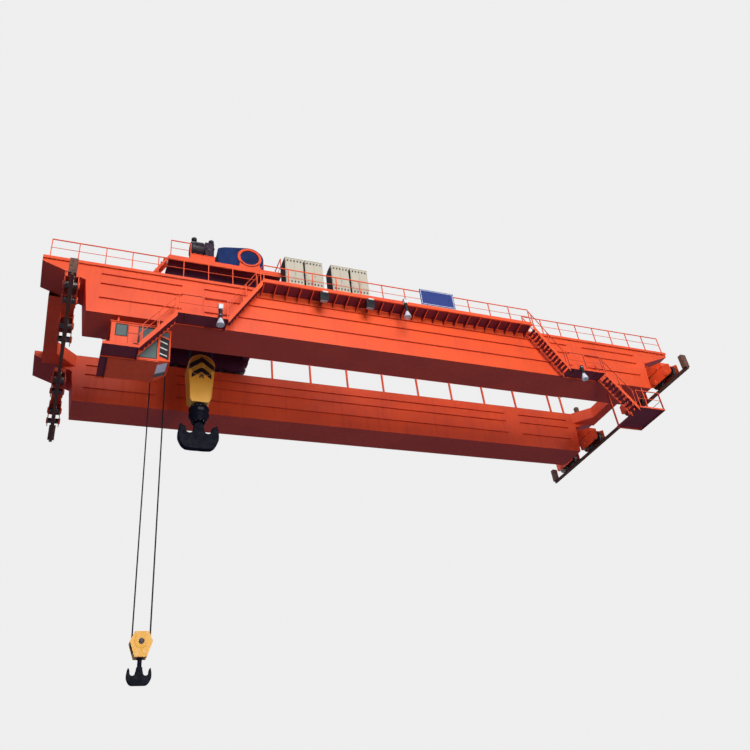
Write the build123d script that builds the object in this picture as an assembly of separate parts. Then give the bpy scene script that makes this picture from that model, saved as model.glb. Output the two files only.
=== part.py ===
from build123d import *
import math
import os

# Double girder overhead crane with a two-hook open winch trolley, in millimetres.
# The working axes are X along the span, Y across to the far girder and Z up. X is 0 at
# mid-span, Y is 0 midway between the girders and Z is 0 at the girders' underside. The
# written parts are moved so that the origin is at the foot of the left runway rail.

# Bridge girders
SPAN = 34600.0
GIRDER_DEPTH = 3000.0
GIRDER_WIDTH = 2050.0
GIRDER_GAP = 5900.0
FOOT_INSET = 800.0
HEEL_INSET = 600.0
TIP_REACH = 1450.0
HEEL_HEIGHT = 1900.0
NOSE_DEPTH = 300.0
WEB_PLATE = 16.0
FLANGE_PLATE = 32.0
EDGE_LIP = 90.0
EDGE_BAND = 170.0
EDGE_PLATE = 14.0
RIB_WIDTH = 90.0
RIB_PLATE = 14.0
RIB_HEIGHTS = (900.0, 1780.0, 2390.0)
RIB_INSET = 500.0
SPLICE_INSET = 4400.0
SPLICE_WIDTH = 1100.0
END_BEAM_REACH = 300.0
END_BEAM_WIDTH = 700.0
END_BEAM_DEPTH = 770.0
GUSSET_REACH = 1050.0

# Crane rails and their end stops
RUNWAY_RAIL = 170.0
RUNWAY_RAIL_FOOT = 170.0
RUNWAY_RAIL_HEAD = 120.0
RUNWAY_FOOT_DEPTH = 30.0
RUNWAY_HEAD_DEPTH = 51.0
RAIL_TOP = 100.0
RAIL_STOP = 275.0
RAIL_STOP_WIDTH = 360.0
RAIL_STOP_TOP = 900.0
RAIL_STOP_CLEARANCE = 20.0
TROLLEY_RAIL = 150.0
TROLLEY_RAIL_FOOT = 150.0
TROLLEY_RAIL_HEAD = 100.0
TROLLEY_FOOT_DEPTH = 27.0
TROLLEY_HEAD_DEPTH = 45.0
TROLLEY_RAIL_INSET = 250.0
TROLLEY_STOP_LENGTH = 250.0
TROLLEY_STOP_WIDTH = 260.0
TROLLEY_STOP_HEIGHT = 750.0
BRIDGE_TRAVEL = 700.0

# Travel gear at the four corners
WHEEL_RADIUS = 400.0
FLANGE_RADIUS = 425.0
WHEEL_FLANGE_PLATE = 30.0
WHEEL_SIDE_PLAY = 20.0
WHEEL_HUB = 150.0
BOGIE_WHEEL_BASE = 1120.0
BOGIE_LENGTH = 1980.0
BOGIE_OFFSET = 1560.0
BOGIE_WIDTH = 640.0
BOGIE_PLATE = 40.0
BOGIE_TOP = 1020.0
BOGIE_CHEEK_DROP = 220.0
BOGIE_WHEEL_CLEAR = 25.0
BOGIE_CORNER = 150.0
BOGIE_NOSE = 120.0
BOGIE_SHOULDER = 350.0
BALANCE_HEIGHT = 620.0
BALANCE_WIDTH = 560.0
BALANCE_LENGTH = 3900.0
BALANCE_END_HEIGHT = 279.0
BALANCE_TOP_HALF = 877.5
PIVOT_PAD = 90.0
PIVOT_PAD_HALF = 180.0
PAD_INSET = 60.0
SADDLE_HALF = 500.0
RUNNING_GAP = 0.3

# Walkways, railings, platforms and stairs
WALKWAY_WIDTH = 880.0
WALKWAY_DROP = 230.0
DECK_PLATE = 30.0
TOE_BOARD = 180.0
TOE_PLATE = 10.0
BRACKET_PITCH = 1300.0
BRACKET_DEPTH = 270.0
BRACKET_PLATE = 20.0
BRACKET_END = 100.0
BRACKET_TIP = 60.0
RAILING_HEIGHT = 1120.0
RAILING_INSET = 60.0
POST_SIZE = 45.0
POST_PITCH = 1300.0
END_RAILING_GAP = 100.0
END_RAILING_INSET = 300.0
PLATFORM_LENGTH = 2450.0
PLATFORM_WIDTH = 970.0
PLATFORM_DEPTH = 100.0
PLATFORM_ARM_END = 400.0
PLATFORM_ARM_TIP = 200.0
PLATFORM_ARM_RISE = 300.0
TRAY_SKIN = 12.0
UPPER_STAIR_RUN = 1800.0
LOWER_STAIR_RUN = 1650.0
STAIR_WIDTH = 700.0
STAIR_INSET = 20.0
STAIR_TREADS = 12
LOWER_TREADS = 9
STAIR_STRINGER = 200.0
STAIR_PLATE = 12.0
STAIR_RAIL_HEIGHT = 1008.0
STAIR_POSTS = (0.06, 0.5, 0.94)
TREAD_DEPTH = 200.0
TREAD_PLATE = 30.0
LANDING_DROP = 2200.0
LANDING_LENGTH = 1800.0
LANDING_INSET = 650.0
LANDING_UNDER = 1300.0
LANDING_REACH = 1050.0
HANGER_SIZE = 80.0
HANGER_INSET = 80.0
HANGER_SINK = 50.0
LANDING_HANGER_INSET = 100.0
CAB_PLATFORM_DROP = 30.0
CAB_PLATFORM_BACK = 360.0
CAB_PLATFORM_KERB = 60.0
CAB_STEP_DEPTH = 240.0
CAB_STEP_PLATE = 30.0

# Cabinets and notice board
CABINET_WIDTH = 1020.0
CABINET_DEPTH = 600.0
CABINET_HEIGHT = 2170.0
CABINET_ON_EDGE = 250.0
CABINET_PLINTH = 60.0
CABINET_PLINTH_INSET = 60.0
CABINET_PLINTH_NEAR = 20.0
CABINET_PLINTH_FAR = 50.0
CABINET_LID = 35.0
CABINET_LID_LIP = 20.0
CABINET_PLACES = (1430.0, 2550.0, 4090.0, 5220.0)
BOARD_LEFT = 960.0
BOARD_WIDTH = 2140.0
BOARD_HEIGHT = 1100.0
BOARD_SHEET = 25.0
BOARD_DROP = 20.0

# Lamps under the walkway
LAMP_REACH = 130.0
LAMP_ARM = 80.0
WALKWAY_LAMP_RISE = 130.0
LEFT_LAMP_RISE = 300.0
RIGHT_LAMP_RISE = 60.0
LAMP_BOX_WIDTH = 220.0
LAMP_BOX_HEIGHT = 290.0
FLAT_LAMP_EDGE = 60.0
BALLAST_HEIGHT = 520.0
BALLAST_RADIUS = 105.0
BELL_HEIGHT = 400.0
BELL_RADIUS = 200.0
LAMP_ON_WALKWAY = -120.0
LAMP_LEFT_PLACE = 430.0
LAMP_RIGHT_PLACE = 700.0
FLAT_LAMP_PLACES = (3330.0, 5960.0)
FLAT_LAMP_LENGTH = 480.0
FLAT_LAMP_NEAR = 120.0
FLAT_LAMP_FAR = 200.0
FLAT_LAMP_HEIGHT = 560.0
FLAT_LAMP_STEM = 80.0
FLAT_LAMP_DROP = 40.0

# Driver's cab
CAB_BACK_INSET = 560.0
CAB_LENGTH = 2230.0
CAB_NOSE = 560.0
CAB_SIDE_STEP = 280.0
CAB_DEPTH = 1750.0
CAB_STEP_DOWN = 200.0
CAB_HEIGHT = 2000.0
CAB_SILL_HEIGHT = 250.0
CAB_WALL = 50.0
CAB_SHEET = 40.0
CAB_EAVES = 40.0
CAB_GLASS = 12.0
CAB_CUT = 110.0
SMALL_WINDOW_PLACE = 220.0
SMALL_WINDOW_WIDTH = 500.0
SMALL_WINDOW_LOW = 1220.0
SMALL_WINDOW_HIGH = 1880.0
SIDE_WINDOW_PLACE = 1290.0
SIDE_WINDOW_LOW = 130.0
WINDOW_HIGH = 1880.0
WINDOW_POST = 90.0
CORNER_WINDOW_BACK = 215.0
CORNER_WINDOW_FRONT = 220.0
FRONT_WINDOW_LOW = 310.0
FRONT_WINDOW_HIGH = 1880.0
FRONT_WINDOW_NEAR = 350.0
FRONT_WINDOW_FAR = 350.0
FAR_WINDOW_PLACE = 690.0
FAR_WINDOW_LOW = 700.0
DOOR_NEAR = 450.0
DOOR_FAR = 350.0
DOOR_LOW = 100.0
DOOR_HIGH = 1800.0
BELLY_BACK = 40.0
BELLY_NEAR = 330.0
BELLY_DROP = 100.0
CAB_HANGER_BACK = 300.0
CAB_HANGER_FRONT = 100.0
CAB_HANGER_SIDE = 200.0

# Trolley
TROLLEY_REST = 4550.0
TROLLEY_LENGTH = 6150.0
TROLLEY_HALF_WIDTH = 4500.0
TROLLEY_WHEEL_RADIUS = 350.0
TROLLEY_FLANGE_RADIUS = 372.0
TROLLEY_FLANGE_PLATE = 25.0
TROLLEY_WHEEL_PLACES = (600.0, 1500.0)
TROLLEY_WHEEL_CLEAR = 30.0
AXLE_PLATE = 30.0
AXLE_PLATE_GAP = 300.0
AXLE_PLATE_HALF = 260.0
AXLE_PLATE_DROP = 180.0
TROLLEY_FRAME_DEPTH = 990.0
TROLLEY_FRAME_INSET = 100.0
TROLLEY_BEAM_WIDTH = 520.0
TROLLEY_DECK = 40.0
TROLLEY_EDGE = 340.0
TROLLEY_EDGE_PLATE = 12.0
CROSS_BEAM = 420.0
CROSS_BEAM_RISE = 120.0
CROSS_BEAM_PLACE = 900.0
AUX_BEAM_CLEAR = 90.0
AUX_ARM_Y = 300.0
AUX_ARM_WIDTH = 120.0
AUX_ARM_TIP = 120.0
MAIN_SLOT = 480.0
SLOT_CLEAR = 60.0
TROLLEY_RAILING_INSET = 60.0
TROLLEY_RAILING_GAP = 200.0
TROLLEY_NEAR_RAILING = 1040.0
TROLLEY_STAIR_RUN = 900.0
TROLLEY_STAIR_WIDTH = 662.0
TROLLEY_STAIR_DEPTH = 260.0
TROLLEY_STAIR_FOOT = 160.0
TROLLEY_STAIR_CLEAR = 40.0
TROLLEY_STAIR_TREADS = 6
TROLLEY_TREAD_DROP = 60.0
TROLLEY_STAIR_LUG = 30.0
STAIR_HANG_GAP = 6.0

# Winches, drum and cover
MAIN_HOOK_PLACE = 2570.0
AUX_HOOK_PLACE = 340.0
DRUM_PLACE = 4400.0
DRUM_RADIUS = 560.0
DRUM_BARREL = 480.0
DRUM_SHAFT = 150.0
DRUM_HALF = 3100.0
DRUM_RISE = 1070.0
DRUM_FLANGE = 50.0
PEDESTAL_PLATE = 200.0
PEDESTAL_FOOT = 520.0
PEDESTAL_CAP = 240.0
COVER_SHEET = 20.0
COVER_RADIUS = 860.0
COVER_BACK = 1800.0
COVER_SHOULDER = 400.0
COVER_SHOULDER_DROP = 230.0
COVER_NEAR_REACH = 980.0
COVER_FAR_REACH = 460.0
HOOD_LENGTH = 800.0
HOOD_HALF = 760.0
HOOD_RISE = 900.0
RING_OUTER = 680.0
RING_INNER = 460.0
RING_PLATE = 90.0
RING_FOOT_HALF = 510.0
RING_FOOT_DROP = 450.0
WINCH_PLACE = 1850.0
WINCH_Y = 3600.0
WINCH_BASE = 850.0
WINCH_FRAME_HALF = 700.0
WINCH_FRAME_SIDE = 380.0
WINCH_MOTOR_RADIUS = 450.0
WINCH_MOTOR_CLEAR = 200.0
WINCH_MOTOR_START = 660.0
WINCH_MOTOR_END = 100.0
WINCH_CASE_START = 90.0
WINCH_CASE_END = 640.0
WINCH_CASE_SIDE = 330.0
WINCH_CASE_RISE = 460.0
WINCH_SEAT_START = 540.0
WINCH_SEAT_SIDE = 240.0
WINCH_CAP_BACK = 450.0
WINCH_CAP_FRONT = 500.0
WINCH_CAP_RISE = 2130.0
WINCH_CAP_HEIGHT = 220.0
WINCH_CAP_RADIUS = 150.0
WINCH_STEM_RADIUS = 50.0

# Main hoist
SHEAVE_RADIUS = 600.0
SHEAVE_RIM = 14.0
SHEAVE_PIN = 90.0
GROOVE_SLACK = 0.3
GROOVE_SIDE = 4.0
ROPE_RADIUS = 22.0
MAIN_FALL_X = 555.0
MAIN_SHEAVES = 6
MAIN_PITCH = 150.0
UPPER_SHEAVE_RISE = 150.0
SHEAVE_SIDE_GAP = 5.0
BEARING_PLATE = 80.0
BEARING_FOOT = 520.0
BEARING_TOP = 200.0
BEARING_RISE = 180.0
BLOCK_AXIS = 850.0
BLOCK_DROP = 2200.0
BLOCK_TOP_RADIUS = 720.0
BLOCK_WIDTH = 1100.0
BLOCK_CHAMFER = 120.0
BLOCK_CHAMFER_RISE = 160.0
BLOCK_PLATE = 60.0
BLOCK_TAPER = 100.0
BLOCK_FOOT_HALF = 330.0
BLOCK_SIDE_GAP = 10.0
BLOCK_SHEAVE_CLEAR = 15.0
BLOCK_WELL = 60.0
CROSSHEAD_RADIUS = 540.0
CROSSHEAD_NECK = 330.0
CROSSHEAD_FOOT = 388.8
CROSSHEAD_HEIGHT = 1130.0
CROSSHEAD_FOOT_RISE = 380.0
CROSSHEAD_BARREL_RISE = 980.0
SHANK_RADIUS = 185.0
SHANK_CLEAR = 5.0
NUT_RADIUS = 270.0
NUT_DEPTH = 300.0
NUT_SEAT = 260.0
NUT_HEADROOM = 40.0
HOOK_BELOW = 770.0
HOOK_HALF_WIDTH = 1065.0
HOOK_DROP = 820.0
HOOK_THICKNESS = 320.0
THROAT_X = 480.0
THROAT_RISE = 290.0
THROAT_RADIUS = 190.0
THROAT_LIP = 190.0
HORN_RISE = 620.0
SHANK_SHOULDER = 50.0
SHANK_ROOT = 200.0

# Outline of a double hook from its foot up, as shares of its half width and of its drop
HOOK_OUTLINE = ((0.45, -1.0), (0.7, -0.97), (0.91, -0.72), (1.0, -0.36), (0.99, 0.1))
HORN_TIP = 0.84

# Auxiliary hoist
AUX_SHEAVE_DROP = 210.0
AUX_SHEAVE_RADIUS = 420.0
AUX_SHEAVE_PIN = 60.0
AUX_FALL_X = 380.0
AUX_ROPE_RADIUS = 16.0
AUX_SHEAVES = 4
AUX_PITCH = 100.0
AUX_AXIS = -13700.0
AUX_BLOCK_DROP = 650.0
AUX_PLATE = 40.0
AUX_SIDE_GAP = 8.0
AUX_FOOT_HALF = 260.0
AUX_CHEEK_EXTRA = 60.0
AUX_CHEEK_TOP = 288.0
AUX_SHEAVE_CLEAR = 12.0
AUX_WELL = 40.0
AUX_HOOK_BELOW = 670.0
AUX_HOOK_HALF_WIDTH = 520.0
AUX_HOOK_DROP = 430.0
AUX_HOOK_THICKNESS = 170.0
AUX_THROAT_X = 275.0
AUX_THROAT_RISE = 66.0
AUX_THROAT_RADIUS = 110.0
AUX_THROAT_LIP = 60.5
AUX_HORN_RISE = 266.6
AUX_SHANK_RADIUS = 95.0
AUX_SHANK_SHOULDER = 30.0
AUX_SHANK_ROOT = 100.0

# How far a cutting block runs past the face that it cuts
OVERCUT = 10.0

# Places worked out from the sizes above
INNER_Y = GIRDER_GAP / 2
OUTER_Y = INNER_Y + GIRDER_WIDTH
GIRDER_Y = INNER_Y + GIRDER_WIDTH / 2
EDGE_Y = OUTER_Y + EDGE_LIP
GIRDER_FOOT_HALF = SPAN / 2 - FOOT_INSET
GIRDER_HEEL_HALF = SPAN / 2 - HEEL_INSET
GIRDER_TIP_HALF = SPAN / 2 + TIP_REACH
RIB_END_HALF = GIRDER_FOOT_HALF - RIB_INSET
SPLICE_OUTER = GIRDER_FOOT_HALF - SPLICE_INSET
SPLICE_INNER = SPLICE_OUTER - SPLICE_WIDTH
END_BEAM_INNER = SPAN / 2 + END_BEAM_REACH
END_BEAM_BOTTOM = GIRDER_DEPTH - END_BEAM_DEPTH
TIP_HEIGHT = GIRDER_DEPTH - NOSE_DEPTH
WALKWAY_UNDER = GIRDER_DEPTH - WALKWAY_DROP
TROLLEY_STOP_X = SPAN / 2
TROLLEY_GAUGE = GIRDER_GAP + 2 * TROLLEY_RAIL_INSET
RAIL_FOOT_Z = RAIL_TOP - RUNWAY_RAIL
TROLLEY_RAIL_TOP = GIRDER_DEPTH + TROLLEY_RAIL
AXLE_Z = RAIL_TOP + RUNNING_GAP + WHEEL_RADIUS
BALANCE_LOW = BOGIE_TOP + PIVOT_PAD
BALANCE_HIGH = BALANCE_LOW + BALANCE_HEIGHT
LANDING_LEVEL = -LANDING_DROP
LANDING_END = GIRDER_FOOT_HALF - LANDING_INSET
LANDING_START = LANDING_END - LANDING_LENGTH
LANDING_INNER_Y = -OUTER_Y + LANDING_UNDER
LANDING_OUTER_Y = -OUTER_Y - LANDING_REACH
PLATFORM_OUTER = LANDING_START - LOWER_STAIR_RUN
PLATFORM_INNER = PLATFORM_OUTER - PLATFORM_LENGTH
WALKWAY_HALF = PLATFORM_INNER - UPPER_STAIR_RUN
STAIR_Y = -OUTER_Y - PLATFORM_WIDTH + STAIR_INSET
CAB_BACK = -LANDING_END + CAB_BACK_INSET
CAB_CORNER = CAB_BACK + CAB_LENGTH
CAB_FRONT = CAB_CORNER + CAB_NOSE
CAB_FLOOR = LANDING_LEVEL - CAB_STEP_DOWN
CAB_TOP = CAB_FLOOR + CAB_HEIGHT
CAB_SILL = CAB_FLOOR + CAB_SILL_HEIGHT
CAB_NEAR = -OUTER_Y
CAB_FAR = CAB_NEAR + CAB_DEPTH
TROLLEY_LEFT = -SPAN / 2 + TROLLEY_REST
TROLLEY_RIGHT = TROLLEY_LEFT + TROLLEY_LENGTH
TROLLEY_AXLE_Z = TROLLEY_RAIL_TOP + RUNNING_GAP + TROLLEY_WHEEL_RADIUS
TROLLEY_FRAME_BOTTOM = TROLLEY_AXLE_Z + TROLLEY_WHEEL_RADIUS + TROLLEY_WHEEL_CLEAR
TROLLEY_FRAME_TOP = TROLLEY_FRAME_BOTTOM + TROLLEY_FRAME_DEPTH
DECK_TOP = TROLLEY_FRAME_TOP + TROLLEY_DECK
MAIN_HOOK_X = TROLLEY_LEFT + MAIN_HOOK_PLACE
AUX_HOOK_X = TROLLEY_LEFT + AUX_HOOK_PLACE
DRUM_X = TROLLEY_LEFT + DRUM_PLACE
DRUM_Z = DECK_TOP + DRUM_RISE
COVER_LEFT = DRUM_X - COVER_BACK
HOOD_LEFT = COVER_LEFT - HOOD_LENGTH
COVER_NEAR = -DRUM_HALF - COVER_NEAR_REACH
COVER_FAR = DRUM_HALF + COVER_FAR_REACH
WINCH_X = TROLLEY_LEFT + WINCH_PLACE
WINCH_CAP_LOW = DECK_TOP + WINCH_CAP_RISE
UPPER_AXIS = DECK_TOP + UPPER_SHEAVE_RISE
AUX_UPPER_AXIS = TROLLEY_FRAME_TOP - AUX_SHEAVE_DROP
BLOCK_HALF_PIN = MAIN_SHEAVES * MAIN_PITCH / 2 + BLOCK_SIDE_GAP
BLOCK_BOTTOM = BLOCK_AXIS - BLOCK_DROP
CROSSHEAD_BOTTOM = BLOCK_BOTTOM - CROSSHEAD_HEIGHT
NUT_LOW = CROSSHEAD_BOTTOM + NUT_SEAT
HOOK_CENTRE = CROSSHEAD_BOTTOM - HOOK_BELOW
AUX_HALF_PIN = AUX_SHEAVES * AUX_PITCH / 2 + AUX_SIDE_GAP
AUX_BLOCK_BOTTOM = AUX_AXIS - AUX_BLOCK_DROP
AUX_HOOK_CENTRE = AUX_BLOCK_BOTTOM - AUX_HOOK_BELOW
ORIGIN = Vector(-SPAN / 2, 0, RAIL_FOOT_Z)

os.makedirs("parts", exist_ok=True)


def save(name, solids):
    """Write one named piece, moved to the runway rail origin."""
    shape = solids if isinstance(solids, list) else [solids]
    flat = []
    for item in shape:
        flat.extend(item.solids())
    moved = [Pos(-ORIGIN.X, -ORIGIN.Y, -ORIGIN.Z) * item for item in flat]
    export_step(Compound(children=moved) if len(moved) > 1 else moved[0], f"parts/{name}.step")


def block(x0, x1, y0, y1, z0, z1):
    """A plain block between two corners."""
    size = Box(abs(x1 - x0), abs(y1 - y0), abs(z1 - z0))
    return Pos((x0 + x1) / 2, (y0 + y1) / 2, (z0 + z1) / 2) * size


def post(x, y, z0, z1, half):
    """A square upright about a centre line."""
    return block(x - half, x + half, y - half, y + half, z0, z1)


def rod(x, y, z0, z1, radius):
    """An upright round bar."""
    return Pos(x, y, (z0 + z1) / 2) * Cylinder(radius, z1 - z0)


def cone(x, y, z0, z1, low_radius, high_radius):
    """An upright taper."""
    return Pos(x, y, (z0 + z1) / 2) * Cone(low_radius, high_radius, z1 - z0)


def rod_y(x, z, y0, y1, radius):
    """A round bar that lies across the span."""
    return Pos(x, (y0 + y1) / 2, z) * Rot(90, 0, 0) * Cylinder(radius, y1 - y0)


def rod_x(y, z, x0, x1, radius):
    """A round bar that lies along the span."""
    return Pos((x0 + x1) / 2, y, z) * Rot(0, 90, 0) * Cylinder(radius, x1 - x0)


def plate_xz(points, y0, y1):
    """An outline in X and Z, given thickness from y0 to y1."""
    face = make_face(Polyline(*[(x, y0, z) for x, z in points], close=True))
    return extrude(face, amount=y1 - y0, dir=(0, 1, 0))


def plate_xy(points, z0, z1):
    """A plan outline, given thickness from z0 to z1."""
    face = make_face(Polyline(*[(x, y, z0) for x, y in points], close=True))
    return extrude(face, amount=z1 - z0, dir=(0, 0, 1))


def plate_yz(points, x0, x1):
    """An outline in Y and Z, given thickness from x0 to x1."""
    face = make_face(Polyline(*[(x0, y, z) for y, z in points], close=True))
    return extrude(face, amount=x1 - x0, dir=(1, 0, 0))


def join(first, pieces):
    """Fuse pieces that are one welded part."""
    return first.fuse(*pieces) if pieces else first


def mirror_span(shape):
    return mirror(shape, about=Plane.YZ)


def mirror_gap(shape):
    return mirror(shape, about=Plane.XZ)


def spaced(start, end, pitch):
    """Even stations from start to end, at most about a pitch apart."""
    count = max(1, round((end - start) / pitch))
    return [start + (end - start) * i / count for i in range(count + 1)]


def rail_section(foot, head, bottom, top, foot_depth, head_depth):
    """Half widths of foot, web and head, turned into a closed rail outline about 0."""
    neck = head / 4
    right = [
        (foot / 2, bottom),
        (foot / 2, bottom + foot_depth),
        (neck, bottom + foot_depth),
        (neck, top - head_depth),
        (head / 2, top - head_depth),
        (head / 2, top),
    ]
    return right + [(-across, z) for across, z in reversed(right)]


# Runway rails
def runway_rail():
    """One length of crane rail with an end stop at both ends."""
    bogie_end = GIRDER_Y + BOGIE_OFFSET + BOGIE_LENGTH / 2 + BRIDGE_TRAVEL
    stop_start = bogie_end + RAIL_STOP_CLEARANCE
    half = stop_start + RAIL_STOP
    head_low = RAIL_TOP - RUNWAY_HEAD_DEPTH
    points = rail_section(
        RUNWAY_RAIL_FOOT, RUNWAY_RAIL_HEAD, RAIL_FOOT_Z, RAIL_TOP, RUNWAY_FOOT_DEPTH, RUNWAY_HEAD_DEPTH
    )
    x = SPAN / 2
    rail = Pos(x, 0, 0) * plate_xz(points, -half, half)
    stop_half = RAIL_STOP_WIDTH / 2
    stops = [
        block(x - stop_half, x + stop_half, side * stop_start, side * half, head_low, RAIL_STOP_TOP)
        for side in (-1, 1)
    ]
    return join(rail, stops)


def trolley_rail():
    """The rail on the near girder, with a stop at both ends."""
    end = TROLLEY_STOP_X + TROLLEY_STOP_LENGTH
    y = -TROLLEY_GAUGE / 2
    head_low = TROLLEY_RAIL_TOP - TROLLEY_HEAD_DEPTH
    points = rail_section(
        TROLLEY_RAIL_FOOT,
        TROLLEY_RAIL_HEAD,
        GIRDER_DEPTH,
        TROLLEY_RAIL_TOP,
        TROLLEY_FOOT_DEPTH,
        TROLLEY_HEAD_DEPTH,
    )
    rail = Pos(0, y, 0) * plate_yz(points, -end, end)
    half = TROLLEY_STOP_WIDTH / 2
    top = GIRDER_DEPTH + TROLLEY_STOP_HEIGHT
    stops = [
        block(side * TROLLEY_STOP_X, side * end, y - half, y + half, head_low, top)
        for side in (-1, 1)
    ]
    return join(rail, stops)


# Girders
def girder_outline(inset):
    """The girder's side outline, drawn in by inset all round."""
    foot = GIRDER_FOOT_HALF - inset
    heel = GIRDER_HEEL_HALF - inset
    tip = GIRDER_TIP_HALF - inset
    right = [
        (foot, inset),
        (heel, HEEL_HEIGHT + inset),
        (tip, TIP_HEIGHT + inset),
        (tip, GIRDER_DEPTH - inset),
    ]
    return right + [(-x, z) for x, z in reversed(right)]


def near_girder():
    """A hollow box girder with a lipped top edge and long ribs on both webs."""
    outer = plate_xz(girder_outline(0), -OUTER_Y, -INNER_Y)
    hollow = plate_xz(girder_outline(FLANGE_PLATE), -OUTER_Y + WEB_PLATE, -INNER_Y - WEB_PLATE)
    shell = outer - hollow
    tip = GIRDER_TIP_HALF
    lip = block(-tip, tip, -EDGE_Y, -OUTER_Y, GIRDER_DEPTH - EDGE_PLATE, GIRDER_DEPTH)
    band = block(-tip, tip, -EDGE_Y, -EDGE_Y + EDGE_PLATE, GIRDER_DEPTH - EDGE_BAND, GIRDER_DEPTH)
    pieces = [lip, band]
    runs = (
        (-RIB_END_HALF, -SPLICE_OUTER),
        (-SPLICE_INNER, SPLICE_INNER),
        (SPLICE_OUTER, RIB_END_HALF),
    )
    for height in RIB_HEIGHTS:
        for start, end in runs:
            low = height - RIB_PLATE / 2
            high = height + RIB_PLATE / 2
            pieces.append(block(start, end, -OUTER_Y - RIB_WIDTH, -OUTER_Y, low, high))
            pieces.append(block(start, end, -INNER_Y, -INNER_Y + RIB_WIDTH, low, high))
    return join(shell, pieces)


def end_beam():
    """The right-hand tie beam between the girders, with plan gussets at both ends."""
    inner = END_BEAM_INNER
    outer = inner + END_BEAM_WIDTH
    high = GIRDER_DEPTH
    beam = block(inner, outer, -INNER_Y, INNER_Y, END_BEAM_BOTTOM, high)
    hollow = block(
        inner + WEB_PLATE,
        outer - WEB_PLATE,
        -INNER_Y - OVERCUT,
        INNER_Y + OVERCUT,
        END_BEAM_BOTTOM + WEB_PLATE,
        high - WEB_PLATE,
    )
    ends = []
    for side in (-1, 1):
        points = [
            (inner, side * INNER_Y),
            (inner - GUSSET_REACH, side * INNER_Y),
            (inner, side * (INNER_Y - GUSSET_REACH)),
        ]
        ends.append(plate_xy(points, END_BEAM_BOTTOM, high))
    return join(beam - hollow, ends)


# Travel gear
def wheel(x, y, z, radius, flange, flange_plate, tread, half_width):
    """One flanged wheel with its axle, running along Y."""
    body = rod_x(y, z, x - tread / 2, x + tread / 2, radius)
    rims = [
        rod_x(y, z, x - tread / 2 - flange_plate, x - tread / 2, flange),
        rod_x(y, z, x + tread / 2, x + tread / 2 + flange_plate, flange),
        rod_x(y, z, x - half_width, x + half_width, WHEEL_HUB),
    ]
    return join(body, rims)


def corner_wheels():
    """The four wheels of the near right corner."""
    wheels = []
    half_width = BOGIE_WIDTH / 2 - BOGIE_PLATE
    tread = RUNWAY_RAIL_HEAD + WHEEL_SIDE_PLAY
    for side in (-1, 1):
        for end in (-1, 1):
            y = -GIRDER_Y + side * BOGIE_OFFSET + end * BOGIE_WHEEL_BASE / 2
            wheels.append(
                wheel(
                    SPAN / 2, y, AXLE_Z, WHEEL_RADIUS, FLANGE_RADIUS, WHEEL_FLANGE_PLATE, tread, half_width
                )
            )
    return wheels


def bogie(y):
    """One two-wheel bogie frame: two side plates under a top box."""
    x0 = SPAN / 2 - BOGIE_WIDTH / 2
    x1 = SPAN / 2 + BOGIE_WIDTH / 2
    low = AXLE_Z - BOGIE_CHEEK_DROP
    nose_low = AXLE_Z - BOGIE_NOSE
    nose_high = BOGIE_TOP - BOGIE_NOSE
    box_bottom = AXLE_Z + FLANGE_RADIUS + BOGIE_WHEEL_CLEAR
    half = BOGIE_LENGTH / 2
    top_half = half - BOGIE_SHOULDER
    low_half = half - BOGIE_CORNER
    outline = [
        (y - half, nose_low),
        (y - low_half, low),
        (y + low_half, low),
        (y + half, nose_low),
        (y + half, nose_high),
        (y + top_half, BOGIE_TOP),
        (y - top_half, BOGIE_TOP),
        (y - half, nose_high),
    ]
    left = plate_yz(outline, x0, x0 + BOGIE_PLATE)
    right = plate_yz(outline, x1 - BOGIE_PLATE, x1)
    top = block(x0 + BOGIE_PLATE, x1 - BOGIE_PLATE, y - top_half, y + top_half, box_bottom, BOGIE_TOP)
    return join(left, [right, top])


def girder_nose_height(x):
    """The underside's height on the girder's rising nose, right end."""
    slope = (TIP_HEIGHT - HEEL_HEIGHT) / (GIRDER_TIP_HALF - GIRDER_HEEL_HALF)
    return HEEL_HEIGHT + slope * (x - GIRDER_HEEL_HALF)


def balance_beam():
    """The near right balance beam: pads on both bogies and a pad under the girder."""
    y = -GIRDER_Y
    half = BALANCE_LENGTH / 2
    outline = [
        (y - half, BALANCE_LOW),
        (y + half, BALANCE_LOW),
        (y + half, BALANCE_LOW + BALANCE_END_HEIGHT),
        (y + BALANCE_TOP_HALF, BALANCE_HIGH),
        (y - BALANCE_TOP_HALF, BALANCE_HIGH),
        (y - half, BALANCE_LOW + BALANCE_END_HEIGHT),
    ]
    x0 = SPAN / 2 - BALANCE_WIDTH / 2
    x1 = SPAN / 2 + BALANCE_WIDTH / 2
    beam = plate_yz(outline, x0, x1)
    pad_left = x0 + PAD_INSET
    pad_right = x1 - PAD_INSET
    pads = []
    for side in (-1, 1):
        centre = y + side * BOGIE_OFFSET
        near = centre - PIVOT_PAD_HALF
        pads.append(block(pad_left, pad_right, near, centre + PIVOT_PAD_HALF, BOGIE_TOP, BALANCE_LOW))
    saddle = [
        (pad_left, BALANCE_HIGH),
        (pad_right, BALANCE_HIGH),
        (pad_right, girder_nose_height(pad_right)),
        (pad_left, girder_nose_height(pad_left)),
    ]
    pads.append(plate_xz(saddle, y - SADDLE_HALF, y + SADDLE_HALF))
    return join(beam, pads)


# Railings, walkways, stairs and platforms
def railing_run(start, end, y, base):
    """A straight railing along the span: posts, a top rail and a middle rail."""
    half = POST_SIZE / 2
    top_low = base + RAILING_HEIGHT - POST_SIZE
    middle_z = base + RAILING_HEIGHT / 2
    thin = half / 2
    top = block(start - half, end + half, y - half, y + half, top_low, base + RAILING_HEIGHT)
    pieces = [block(start, end, y - thin, y + thin, middle_z - thin, middle_z + thin)]
    for x in spaced(start, end, POST_PITCH):
        pieces.append(post(x, y, base, top_low, half))
    return join(top, pieces)


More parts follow.
